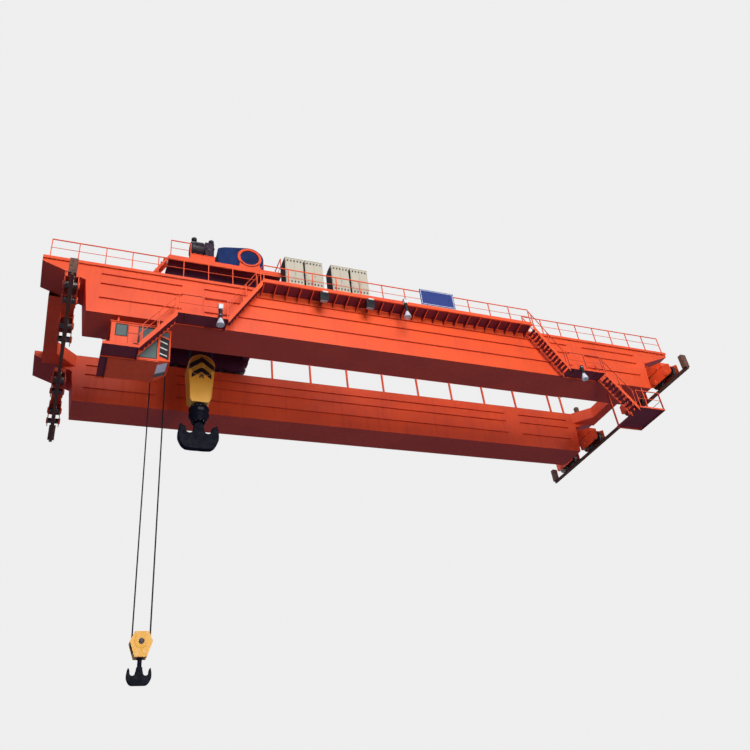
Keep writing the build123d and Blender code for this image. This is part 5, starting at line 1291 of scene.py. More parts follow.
# Each pane as its two places along the wall and its two heights over the floor.
SIDE_PANE = (1.29, 2.14, 0.13, 1.88)
SMALL_PANE = (0.22, 0.72, 1.22, 1.88)
FAR_PANE = (0.69, 2.14, 0.7, 1.88)
DOOR_WAY = (0.45, 1.4, 0.1, 1.8)
FRONT_PANE = (0.35, 1.4, 0.31, 1.88)
CORNER_PANE = (0.12, 0.88, 0.31, 1.88)
RUBBER_PROUD = 0.012
TRANSOM = 1.5
TRANSOM_HALF = 0.03
BAR_LEVELS = (1.19, 0.83, 0.47)
BAR_HALF = 0.026
BAR_DEPTH = 0.02
BAR_SHARE = 0.82
FILM = 0.004
FROST_GAP = 0.012
FROST_SHEET = 0.004
FROST_SHARE = 0.7
# The seams of the near side's panels, from one place to another along it, at a height.
LEVEL_SEAMS = ((0.76, 2.2, 1.86), (0.76, 1.26, 1.42), (0.03, 1.26, 0.6))
UPRIGHT_SEAMS = (0.78, 1.24)
EAVES = 2.0
BEAD_TOP = 1.98
NOSE_RISE = 0.25
# The door handle's path: how far it stands out, and its heights.
HANDLE_PATH = ((0.02, 0.7), (0.07, 0.72), (0.07, 1.38), (0.02, 1.4))
WIPER_PIVOT = (0.9, 0.38)
WIPER_BLADE = (0.75, 1.1)


def frame_round(shape, corners, normal, width, proud):
    """A mitred frame round an opening: it laps outward by width and stands proud of the wall."""
    corners = [Vector(c) for c in corners]
    lift = Vector(normal).normalized() * proud
    rings = []
    for i, here in enumerate(corners):
        back = (here - corners[i - 1]).normalized()
        ahead = (corners[(i + 1) % len(corners)] - here).normalized()
        outward = (back - ahead) * width
        inner = here - outward * 0.12
        outer = here + outward
        rings.append([inner + lift, outer + lift, outer, inner])
    shape.loft(rings, closed=True)


def pane_corners(start, end, foot, top):
    """A pane's corners in order, as (along, up) pairs."""
    return [(start, foot), (end, foot), (end, top), (start, top)]


def facet_corners(start, end, share, last, foot, top):
    """The corners of a pane in the facet, from shares along it and heights above the floor."""
    near = start.lerp(end, share)
    far = start.lerp(end, last)
    return [near + UP * foot, far + UP * foot, far + UP * top, near + UP * top]


class CRANE_OT_cab(bpy.types.Operator):
    """Fit window rubbers, guard bars, seams, gutter, door trim and wiper to the cab"""

    bl_idname = "crane.cab"
    bl_label = "Driver's Cab"

    def execute(self, context):
        """Make the cab's fittings round its walls and the facet at its near front corner."""
        low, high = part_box("cab_walls")
        start = Vector((low.x + CORNER_LENGTH, low.y, low.z))
        end = Vector((high.x, low.y + CORNER_STEP, low.z))
        self.rubbers(context.scene.crane_bridge.window_frame, low, high, start, end)
        self.bars(start, end)
        self.belly_sheet()
        self.seams(low)
        self.beads(low, high, start, end)
        self.fittings(low, high)
        return {"FINISHED"}

    def rubbers(self, width, low, high, start, end):
        """Black rubber round every pane."""
        shape = Shape()
        rings = [
            ([(low.x + x, low.y, low.z + z) for x, z in pane_corners(*SIDE_PANE)], (0, -1, 0)),
            ([(low.x + x, low.y, low.z + z) for x, z in pane_corners(*SMALL_PANE)], (0, -1, 0)),
            ([(low.x + x, high.y, low.z + z) for x, z in pane_corners(*FAR_PANE)], (0, 1, 0)),
            ([(high.x, low.y + y, low.z + z) for y, z in pane_corners(*FRONT_PANE)], (1, 0, 0)),
        ]
        for ring, normal in rings:
            frame_round(shape, ring, normal, width * 0.6, RUBBER_PROUD)
        ring = facet_corners(start, end, *CORNER_PANE)
        frame_round(shape, ring, (end - start).cross(UP), width * 0.35, 0.01)
        shape.make("cab_window_rubbers", "bridge", "cab_pane", "rubber", 0.004)

    def bars(self, start, end):
        """The facet's transom and guard bars, and the black sun film over its lower pane."""
        along = (end - start).normalized()
        outward = along.cross(UP)
        near = start.lerp(end, CORNER_PANE[0])
        far = start.lerp(end, CORNER_PANE[1])
        first = near - along * 0.02
        shape = Shape()
        self.bar(shape, (first, far), outward, TRANSOM, TRANSOM_HALF)
        shape.skin = 1
        for level in BAR_LEVELS:
            self.bar(shape, (first, near.lerp(far, BAR_SHARE)), outward, level, BAR_HALF)
        shape.make("corner_pane_bars", "bridge", "painted_orange", "orange plastic", 0.004)
        film = Shape()
        clear = outward * 0.006
        base = facet_corners(near, far, 0.0, 1.0, CORNER_PANE[2], TRANSOM)
        film.loft([[p + clear for p in base], [p + clear - outward * FILM for p in base]])
        film.make("corner_sun_film", "bridge", "cab_pane", "rubber")

    def bar(self, shape, ends, outward, level, half):
        """A flat bar across the facet, between two places at one level."""
        rise = UP * half
        deep = outward * BAR_DEPTH
        rings = []
        for place in ends:
            place = place + UP * level + outward * 0.004
            rings.append([place + rise, place + rise + deep, place - rise + deep, place - rise])
        shape.loft(rings)

    def belly_sheet(self):
        """The frosted white sheet over most of the slanting pane under the nose."""
        low, high = min(solid_boxes("cab_glass"), key=lambda pair: pair[0].z)
        rise = low.z - FROST_GAP
        fall = high.z - FROST_GAP
        section = [(low.x, rise), (high.x, fall), (high.x, fall + FROST_SHEET), (low.x, rise + FROST_SHEET)]
        shape = Shape()
        shape.prism(section, 1, low.y, low.y + (high.y - low.y) * FROST_SHARE)
        shape.make("belly_pane_sheet", "bridge", "cab_pane", "white")

    def seams(self, low):
        """The dark seams between the near side's panels."""
        shape = Shape()
        for x0, x1, z in LEVEL_SEAMS:
            first = (low.x + x0, low.y - 0.006, low.z + z - 0.012)
            shape.block(first, (low.x + x1, low.y, low.z + z + 0.012))
        for x in UPRIGHT_SEAMS:
            first = (low.x + x - 0.008, low.y - 0.005, low.z + 0.05)
            shape.block(first, (low.x + x + 0.008, low.y, low.z + 1.95))
        shape.make("cab_panel_seams", "bridge", "cab_pane", "rubber", 0.002)

    def beads(self, low, high, start, end):
        """The roof's gutter, the corners' beads, and the sill rail round the floor."""
        shape = Shape()
        roof_low, roof_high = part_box("cab_roof")
        eaves = low.z + EAVES
        far_y = low.y + high.y - end.y
        gutter = [
            (roof_low.x, roof_high.y, eaves),
            (roof_low.x, roof_low.y, eaves),
            (start.x, roof_low.y, eaves),
            (roof_high.x, end.y - 0.02, eaves),
            (roof_high.x, far_y + 0.02, eaves),
            (start.x, roof_high.y, eaves),
        ]
        shape.tube(gutter, 0.028, 10, True)
        for x, y in ((low.x, low.y), (start.x, low.y), (low.x, high.y), (start.x, high.y)):
            shape.tube([(x, y, low.z + 0.01), (x, y, low.z + BEAD_TOP)], 0.02, 10)
        for place in (end, Vector((high.x, far_y, low.z))):
            shape.tube([place + UP * NOSE_RISE, place + UP * BEAD_TOP], 0.022, 10)
        sill = [
            (low.x, low.y - 0.004, low.z + 0.02),
            (start.x, low.y - 0.004, low.z + 0.02),
            (end.x, end.y - 0.004, low.z + NOSE_RISE),
            (end.x, far_y + 0.004, low.z + NOSE_RISE),
            (start.x, high.y + 0.004, low.z + 0.02),
        ]
        shape.tube(sill, 0.03, 10)
        shape.make("cab_beads_and_gutter", "bridge", "painted_orange", "orange")

    def fittings(self, low, high):
        """The door's frame and handle, and the front pane's wiper."""
        shape = Shape()
        ring = [(low.x, low.y + y, low.z + z) for y, z in pane_corners(*DOOR_WAY)]
        frame_round(shape, ring, (-1, 0, 0), 0.04, 0.015)
        handle_y = low.y + DOOR_WAY[1] + 0.1
        shape.tube([(low.x - out, handle_y, low.z + z) for out, z in HANDLE_PATH], 0.014, 10)
        pivot_y, pivot_z = low.y + WIPER_PIVOT[0], low.z + WIPER_PIVOT[1]
        blade_y, blade_z = low.y + WIPER_BLADE[0], low.z + WIPER_BLADE[1]
        arm = [(high.x + 0.03, pivot_y, low.z + 0.4), (high.x + 0.04, blade_y, blade_z)]
        shape.tube(arm, 0.008, 8)
        shape.box_at((high.x + 0.03, blade_y, blade_z), (0.016, 0.03, 0.62))
        shape.turned([(0.03, -0.01), (0.03, 0.05)], (high.x, pivot_y, pivot_z), 0, 16)
        shape.make("cab_door_trim_and_wiper", "bridge", "lamp_metal", "casting", 0.003)


# Lamps

BALLAST_HEIGHT = 0.52
BALLAST_CAP = ((0.03, 0.03), (0.085, 0.02), (0.1, -0.02))
BALLAST_FINS = 8
# One groove between two fins, as (radius, drop).
BALLAST_GROOVE = ((0.1, 0.0), (0.086, 0.012), (0.086, 0.03), (0.1, 0.042))
BELL_HEIGHT = 0.4
BELL_RADIUS = 0.2
# The spun bell's section, as (radius, drop under its neck).
BELL_OUTSIDE = ((0.075, 0.0), (0.09, 0.05), (0.13, 0.14), (0.172, 0.27))
BELL_INSIDE = ((0.158, 0.27), (0.118, 0.14), (0.07, 0.05), (0.03, 0.02))
LAMP_BOX = 0.29
LAMP_BODY = 0.8
LAMP_RIBS = 7
# A bell lamp whose top is higher than this hangs on the walkway, a lower one on the girder.
HIGH_LAMP = 1.0


def bell_lamp(shape, x, y, top, boxed):
    """One bell lamp: a finned ballast tube, a neck, a spun bell and its glass."""
    neck = top - BALLAST_HEIGHT
    rim = neck - BELL_HEIGHT
    place = (x, y, 0.0)
    shape.skin = 0
    tube = [(radius, top + rise) for radius, rise in BALLAST_CAP]
    for i in range(BALLAST_FINS):
        z = top - 0.06 - i * (BALLAST_HEIGHT - 0.12) / BALLAST_FINS
        tube += [(radius, z - drop) for radius, drop in BALLAST_GROOVE]
    shape.turned([*tube, (0.1, neck + 0.02), (0.075, neck)], place, 2, 28)
    shape.skin = 1
    bell = [(radius, neck - drop) for radius, drop in BELL_OUTSIDE]
    bell += [(0.195, rim + 0.03), (BELL_RADIUS, rim), (0.19, rim), (0.18, rim + 0.03)]
    bell += [(radius, neck - drop) for radius, drop in BELL_INSIDE]
    shape.turned(bell, place, 2, 40)
    shape.skin = 2
    shape.turned([(0.186, rim + 0.012), (0.15, rim - 0.004), (0.02, rim - 0.012)], place, 2, 32)
    if boxed:
        shape.skin = 3
        shape.box_at((x, y, top + 0.16), (0.22, 0.22, 0.26))
        shape.box_at((x, y, top + 0.3), (0.26, 0.26, 0.02))


def lamp_arm(shape, x, y, edge, level):
    """The arm, wall plate and band that carry a bell lamp."""
    shape.skin = 4
    shape.tube([(x, y, level), (x, edge - 0.01, level)], 0.022, 12)
    shape.box_at((x, edge - 0.008, level), (0.12, 0.016, 0.12))
    shape.turned([(0.112, -0.03), (0.112, 0.03)], (x, y, level), 2, 28)


def flat_lamp(shape, x, y, under):
    """One flat lamp: a ribbed dark gear case under a white cap, with its glass below."""
    shape.skin = 0
    low = under - 0.6
    front, back = y - 0.12, y + 0.2
    top = under - 0.16
    case = [(front, low + 0.12), (y - 0.02, low), (back, low), (back, top), (front, top)]
    shape.prism(case, 0, x - 0.235, x + 0.235)
    for i in range(LAMP_RIBS):
        shape.box_at((x, y - 0.125, under - 0.2 - i * 0.045), (0.42, 0.02, 0.014))
    shape.skin = 3
    shape.box_at((x + 0.06, y + 0.03, under - 0.08), (0.3, 0.3, 0.09))
    shape.skin = 2
    shape.box_at((x, y + 0.09, low - 0.006), (0.4, 0.18, 0.014))
    shape.skin = 4
    for side in SIDES:
        shape.box_at((x + side * 0.16, y + 0.06, under - 0.02), (0.04, 0.05, 0.05))


class CRANE_OT_lamps(bpy.types.Operator):
    """Replace the plain lamps with finned ballasts, spun bells and glasses"""

    bl_idname = "crane.lamps"
    bl_label = "Lamps"

    def execute(self, context):
        """Make a bell lamp or a flat lamp where each packed one is."""
        walk_low, walk_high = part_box("walkway_near")
        under = walk_high.z - TOE_BOARD
        shape = Shape()
        flats = []
        for low, high in solid_boxes("walkway_lamps"):
            x = (low.x + high.x) / 2
            tall = high.z - low.z
            if tall > LAMP_BODY:
                boxed = tall > LAMP_BODY + LAMP_BOX / 2
                top = high.z - (LAMP_BOX if boxed else 0.0)
                bell_lamp(shape, x, low.y + BELL_RADIUS, top, boxed)
                level = under + 0.12 if top > HIGH_LAMP else MIDDLE.z - 0.04
                lamp_arm(shape, x, low.y + BELL_RADIUS, walk_low.y, level)
            else:
                flats.append((x, low.y + 0.12))
        for x, y in flats:
            flat_lamp(shape, x, y, under)
        finishes = "casting spun lens plastic zinc"
        made = shape.make("bell_and_flat_lamps", "bridge", "lamp_metal", finishes, 0.004)
        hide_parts("walkway_lamps")
        return {"FINISHED"}


# Trolley

DRUM_COVER_RADIUS = 0.86
DRUM_COVER_BACK = 1.8
DRUM_COVER_SHOULDER = ((0.0, 0.4), (0.4, 0.23))
HOOD_HALF = 0.76
HOOD_RISE = 0.9
CANVAS_INSET = 0.012
HEM_RISE = 0.025
HEM_RADIUS = 0.018
HEM_STEP = 0.03
# How many pleats and how much drift there is along a metre of the cover.
PLEAT_TURN = 12.5
HOOD_PLEAT_TURN = 14.0
END_INSET = 0.09
STATION_PITCH = 0.055
HOOP_BAYS = 8


def resampled(corners, count):
    """Evenly spaced points, count of them, along the line through corners."""
    corners = [Vector(c) for c in corners]
    reach = [0.0]
    for here, after in zip(corners, corners[1:]):
        reach.append(reach[-1] + (after - here).length)
    points = []
    step = 0
    for i in range(count):
        want = reach[-1] * i / (count - 1)
        while step < len(corners) - 2 and reach[step + 1] < want:
            step += 1
        share = (want - reach[step]) / (reach[step + 1] - reach[step])
        points.append(corners[step].lerp(corners[step + 1], min(1.0, share)))
    return points


def eased(points, rounds):
    """The line with its corners rounded by averaging, its ends kept."""
    for _ in range(rounds):
        middle = [(a + b * 2 + c) / 4 for a, b, c in zip(points, points[1:], points[2:])]
        points = [points[0], *middle, points[-1]]
    return points


def canvas_shell(shape, profile, stations, foot, fold, seed):
    """A sheet over hoops: the profile across, at each station along y scaled about its foot. It sags
    between the hoops, and hangs in pleats that deepen towards its hem."""
    top = max(p.y for p in profile)
    rings = []
    for y, scale, hoop in stations:
        ring = []
        for i, place in enumerate(profile):
            before = profile[max(0, i - 1)]
            after = profile[min(len(profile) - 1, i + 1)]
            along = (after - before).normalized()
            inward = Vector((along.y, -along.x))
            height = (place.y - foot.y) / (top - foot.y)
            flat = foot + (place - foot) * scale
            spot = Vector((flat.x, y, flat.y))
            drift = noise.noise(spot * 0.9 + Vector((seed, 0, 0)))
            pleat = 0.5 + 0.5 * math.sin(y * PLEAT_TURN + drift * 5.0)
            hang = (1.0 - height) ** 1.2
            sag = hoop * (0.35 + 0.65 * height)
            crumple = 0.5 + 0.5 * noise.noise(spot * 3.1 + Vector((0, seed, 0)))
            depth = fold * (1.3 * pleat * hang + 1.1 * sag + 0.7 * crumple)
            flat = flat + inward * depth * min(1.0, scale * 1.2)
            ring.append((flat.x, y, max(flat.y, foot.y)))
        rings.append(ring)
    shape.sheet(rings)
    return rings


def hooped_stations(start, end, pitch, hoops):
    """Stations along y with how far the sheet sags at each: none at a hoop, most between two."""
    made = []
    for y in spaced(start, end, pitch):
        share = (y - start) / (end - start) * hoops
        made.append((y, 1.0, math.sin(math.pi * (share % 1.0)) ** 2))
    return made


def end_stations(y, side, pleats):
    """Stations that close a sheet's end, from its middle out to the rounded edge."""
    made = []
    for i in range(16):
        scale = 0.02 + 0.93 * i / 15
        ripple = CANVAS_INSET + 0.01 * math.sin(i * pleats)
        made.append((y + side * ripple, scale, 0.0))
    for angle in (20, 45, 70, 90):
        turn = math.radians(angle)
        back = CANVAS_INSET + 0.05 * (1.0 - math.cos(turn))
        made.append((y + side * back, 0.95 + 0.05 * math.sin(turn), 0.0))
    return made


class CRANE_OT_drum_cover(bpy.types.Operator):
    """Sew the canvas cover of the drum and its sheaves, with its sagging bays, pleats and rolled hem"""

    bl_idname = "crane.drum_cover"
    bl_label = "Drum Cover"

    def execute(self, context):
        """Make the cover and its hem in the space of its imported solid."""
        fold = context.scene.crane_trolley.fold
        low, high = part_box("drum_cover")
        shape = Shape()
        main_rings, profile = self.main_part(shape, low, high, fold)
        hood_rings, hood = self.hood_part(shape, low, high, fold)
        cover = shape.make("drum_cover_canvas", "trolley", "cover_blue", "tarp", angle=60.0)
        hem = self.hem(main_rings, hood_rings)
        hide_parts("drum_cover")
        return {"FINISHED"}

    def main_part(self, shape, low, high, fold):
        """The long arched part over the drum."""
        right = high.x - CANVAS_INSET
        top = high.z - CANVAS_INSET
        left = high.x - DRUM_COVER_RADIUS - DRUM_COVER_BACK + CANVAS_INSET
        hub = (high.x - DRUM_COVER_RADIUS, high.z - DRUM_COVER_RADIUS)
        foot_z = low.z + HEM_RISE
        corners = [(left, foot_z)]
        for reach, drop in DRUM_COVER_SHOULDER:
            corners.append((left + reach, top - drop))
        corners += [(x, z) for x, z in reversed(arc(hub, right - hub[0], 0, 90, 16))]
        corners.append((right, foot_z))
        profile = eased(resampled(corners, 104), 5)
        foot = Vector(((left + right) / 2, foot_z))
        stations = end_stations(low.y, 1, 1.7)
        stations += hooped_stations(low.y + END_INSET, high.y - END_INSET, STATION_PITCH, HOOP_BAYS)
        stations += reversed(end_stations(high.y, -1, 2.3))
        return canvas_shell(shape, profile, stations, foot, fold, 3.7), profile

    def hood_part(self, shape, low, high, fold):
        """The low hood over the sheaves that stand out beside the cover."""
        left = low.x + CANVAS_INSET
        right = high.x - DRUM_COVER_RADIUS - DRUM_COVER_BACK + 0.06
        half = HOOD_HALF - CANVAS_INSET
        foot_z = low.z + HEM_RISE
        top = low.z + HOOD_RISE - CANVAS_INSET
        corners = [(-half, foot_z), (-half, top), (half, top), (half, foot_z)]
        profile = eased(resampled(corners, 48), 4)
        rings = []
        for i, x in enumerate(spaced(left, right, 0.05)):
            scale = 1.0 if i else 0.97
            ring = []
            for k, place in enumerate(profile):
                spot = Vector((x, place.x, place.y))
                height = (place.y - foot_z) / (top - foot_z)
                dip = fold * (0.6 * height + 0.5 * noise.noise(spot * 3.3)) * min(1.0, i / 3)
                pleat = 0.5 + 0.5 * math.sin(x * HOOD_PLEAT_TURN + k)
                inward = fold * 0.6 * (1.0 - height) * pleat
                across = place.x * scale - math.copysign(inward, place.x) * min(1.0, abs(place.x) * 4)
                ring.append((x, across, max(foot_z, place.y - max(0.0, dip))))
            rings.append(ring)
        closing = []
        for scale in (0.05, 0.35, 0.65, 0.9):
            x = left + 0.01 * (1 - scale)
            closing.append([(x, p.x * scale, foot_z + (p.y - foot_z) * scale) for p in profile])
        rings = closing + rings
        shape.sheet(rings)
        return rings, profile

    def hem(self, main_rings, hood_rings):
        """The rolled hem along the lower edges."""
        shape = Shape()
        for rings in (main_rings, hood_rings):
            for end in (0, -1):
                path = [Vector(ring[end]) for ring in rings[::2]]
                path.append(Vector(rings[-1][end]))
                kept = [path[0]]
                for place in path[1:]:
                    if (place - kept[-1]).length > HEM_STEP:
                        kept.append(place)
                shape.tube(kept, HEM_RADIUS, 8)
        return shape.make("drum_cover_hem", "trolley", "cover_blue", "tarp")


COWL_RINGS = (0.25, 0.5, 0.75)


def finned_motor(shape, centre, start, end, radius, fins, fin):
    """A hoist motor lying along x: its ribbed shell with two bands, end shield and vented cowl."""
    shape.skin = 1
    core = radius - fin
    ring = []
    for k in range(fins):
        for share, reach in ((-0.22, core), (-0.16, radius), (0.16, radius), (0.22, core)):
            angle = 2 * math.pi * (k + share) / fins
            ring.append((reach * math.sin(angle), reach * math.cos(angle)))
    shell_end = end - 0.08
    shell_start = start + 0.2
    outline = [(centre.y + u, centre.z + v) for u, v in ring]
    shape.prism(outline, 0, shell_start, shell_end)
    place = (0.0, centre.y, centre.z)
    for x in (shell_start, shell_end):
        shape.turned([(radius * 0.99, x - 0.025), (radius, x), (radius * 0.99, x + 0.025)], place, 0, 48)
    shield = [(radius * 0.98, shell_end), (radius * 0.86, end - 0.02), (radius * 0.4, end)]
    shape.turned(shield, place, 0, 40)
    shape.skin = 2
    cowl = [(radius * 0.97, shell_start - 0.03), (radius * 0.97, start + 0.05), (radius * 0.9, start)]
    shape.turned(cowl, place, 0, 48)
    for reach in COWL_RINGS:
        vent = pane_corners(radius * reach, radius * (reach + 0.1), start - 0.006, start + 0.01)
        shape.turned(vent, place, 0, 36, True)


CASE_CAP = ((0.17, 0.0), (0.17, 0.03), (0.12, 0.045), (0.03, 0.047))
CASE_PLATE = 0.03
CASE_RIB_PITCH = 0.19
CASE_BOLT_PITCH = 0.11


def gear_case(shape, low, high, axis, bolt):
    """A cast gear case: its walls and foot, a bolted split flange, a lid, ribs and bearing caps."""
    shape.skin = 1
    cx, cy = (low.x + high.x) / 2, (low.y + high.y) / 2
    half_x, half_y = (high.x - low.x) / 2, (high.y - low.y) / 2
    body_x, body_y = half_x - 0.025, half_y - 0.05
    for wide, deep, z0, z1 in (
        (body_x, body_y, low.z + CASE_PLATE, high.z - CASE_PLATE),
        (half_x, half_y, low.z, low.z + 0.035),
        (half_x, half_y, axis - CASE_PLATE, axis + CASE_PLATE),
        (body_x * 0.7, body_y * 0.6, high.z - CASE_PLATE, high.z),
    ):
        shape.block((cx - wide, cy - deep, z0), (cx + wide, cy + deep, z1))
    for side in SIDES:
        face = cy + side * body_y
        edge = cy + side * (half_y - 0.004)
        first, last = sorted((face - side * 0.01, edge - side * 0.012))
        shape.skin = 1
        for x in spaced(cx - body_x * 0.84, cx + body_x * 0.84, CASE_RIB_PITCH):
            shape.block((x - 0.012, first, low.z + CASE_PLATE), (x + 0.012, last, high.z - 0.06))
        shape.cap(CASE_CAP, (cx, face, axis), 1, side, 30)
        shape.skin = 3
        shape.bolt_ring((cx, face + side * 0.03, axis), 1, 0.145, 6, bolt * 0.45, side, 0.5)
        for x in spaced(cx - half_x + 0.05, cx + half_x - 0.05, CASE_BOLT_PITCH):
            shape.bolt((x, cy + side * (half_y - 0.025), axis + CASE_PLATE), 2, bolt * 0.5)


BASE_INSET = 0.035
BASE_FLANGE = 0.028
BASE_PITCH = 0.32


def base_box(shape, low, high, bolt):
    """The winch's welded base: plate box with flanges, upright stiffeners and anchor bolts."""
    shape.skin = 0
    first, last = low.y + BASE_INSET, high.y - BASE_INSET
    shape.block((low.x + BASE_INSET, first, low.z), (high.x - BASE_INSET, last, high.z))
    for z in (low.z, high.z - BASE_FLANGE):
        shape.block((low.x, low.y, z), (high.x, high.y, z + BASE_FLANGE))
    for side, face, edge in ((-1, first, low.y), (1, last, high.y)):
        y0, y1 = sorted((face - side * 0.01, edge - side * 0.004))
        for x in spaced(low.x + 0.06, high.x - 0.06, BASE_PITCH):
            shape.block((x - 0.01, y0, low.z + 0.02), (x + 0.01, y1, high.z - 0.02))
    shape.skin = 3
    for x in spaced(low.x + 0.13, high.x - 0.13, BASE_PITCH):
        for y in (low.y + 0.016, high.y - 0.016):
            shape.bolt((x, y, low.z + BASE_FLANGE), 2, bolt * 0.4)


# Shares of the housing's radius and height, and a groove's shares and rises.
DOME_FOOT = ((0.5, 0.0), (0.92, 0.08), (1.0, 0.2))
DOME_GROOVE = ((1.0, 0.0), (0.94, 0.008), (0.94, 0.018), (1.0, 0.026))
DOME_CROWN = ((0.96, 0.8), (0.78, 0.94), (0.3, 1.0))


def domed_cap(shape, x, y, foot, low, radius, height, stem):
    """A round black housing with a domed top and ribbed rim, on its stem."""
    shape.skin = 2
    pillar = [(stem * 1.5, foot), (stem * 1.5, foot + 0.03), (stem, foot + 0.05), (stem, low + 0.02)]
    shape.turned(pillar, (x, y, 0), 2, 20)
    profile = [(radius * share, low + height * rise) for share, rise in DOME_FOOT]
    for k in range(3):
        z = low + height * (0.28 + 0.14 * k)
        profile += [(radius * share, z + rise) for share, rise in DOME_GROOVE]
    profile += [(radius * share, low + height * rise) for share, rise in DOME_CROWN]
    shape.turned(profile, (x, y, 0), 2, 36)


class CRANE_OT_winches(bpy.types.Operator):
    """Build both hoist motors with their gear cases, base boxes and black domed housings"""

    bl_idname = "crane.winches"
    bl_label = "Hoist Winches"

    base = 0.85
    motor_radius = 0.45
    motor_clear = 0.2
    motor_reach = (-0.66, 0.1)
    case_reach = (0.09, 0.64)
    case_side = 0.33
    case_rise = 0.46
    caps = ((-0.45, 0.0), (0.5, 0.46))
    cap_height = 0.22
    cap_radius = 0.15
    stem = 0.05
    base_half = 0.38
    fins = 40
    saddles = (-0.42, -0.12)

    def execute(self, context):
        """Make a winch where each packed one stands."""
        bolt = context.scene.crane_bridge.bolt
        fin = context.scene.crane_trolley.fin
        finishes = "orange machine casting zinc"
        for rank in RANKS:
            node = f"hoist_winch_{rank}"
            low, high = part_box(node)
            shape = self.one(low, high, bolt, fin)
            made = shape.make(f"{node}_set", "trolley", "machine_grey", finishes, 0.006)
            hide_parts(node)
        return {"FINISHED"}

    def one(self, low, high, bolt, fin):
        """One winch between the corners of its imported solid."""
        shape = Shape()
        x = (low.x + high.x) / 2
        y = (low.y + high.y) / 2
        base_top = low.z + self.base
        axis = base_top + self.motor_clear + self.motor_radius
        half = (high.x - low.x) / 2
        base_low = Vector((x - half, y - self.base_half, low.z))
        base_box(shape, base_low, Vector((x + half, y + self.base_half, base_top)), bolt)
        centre = Vector((x, y, axis))
        start, end = (x + reach for reach in self.motor_reach)
        finned_motor(shape, centre, start, end, self.motor_radius, self.fins, fin)
        shape.skin = 1
        top = axis - 0.3
        saddle = [(y - 0.24, base_top), (y + 0.24, base_top), (y + 0.2, top), (y - 0.2, top)]
        for reach in self.saddles:
            shape.prism(saddle, 0, x + reach - 0.05, x + reach + 0.05)
        shape.block((x - 0.5, y - 0.24, base_top), (x - 0.03, y + 0.24, base_top + 0.03))
        shape.block((x - 0.36, y - 0.16, axis + 0.37), (x - 0.1, y + 0.02, axis + 0.44))
        case_low = Vector((x + self.case_reach[0], y - self.case_side, base_top))
        case_high = Vector((x + self.case_reach[1], y + self.case_side, axis + self.case_rise))
        gear_case(shape, case_low, case_high, axis, bolt)
        for reach, rise in self.caps:
            cap_low = high.z - self.cap_height
            foot = axis + (rise if rise else self.motor_radius - 0.03)
            domed_cap(shape, x + reach, y, foot, cap_low, self.cap_radius, self.cap_height, self.stem)
        return shape


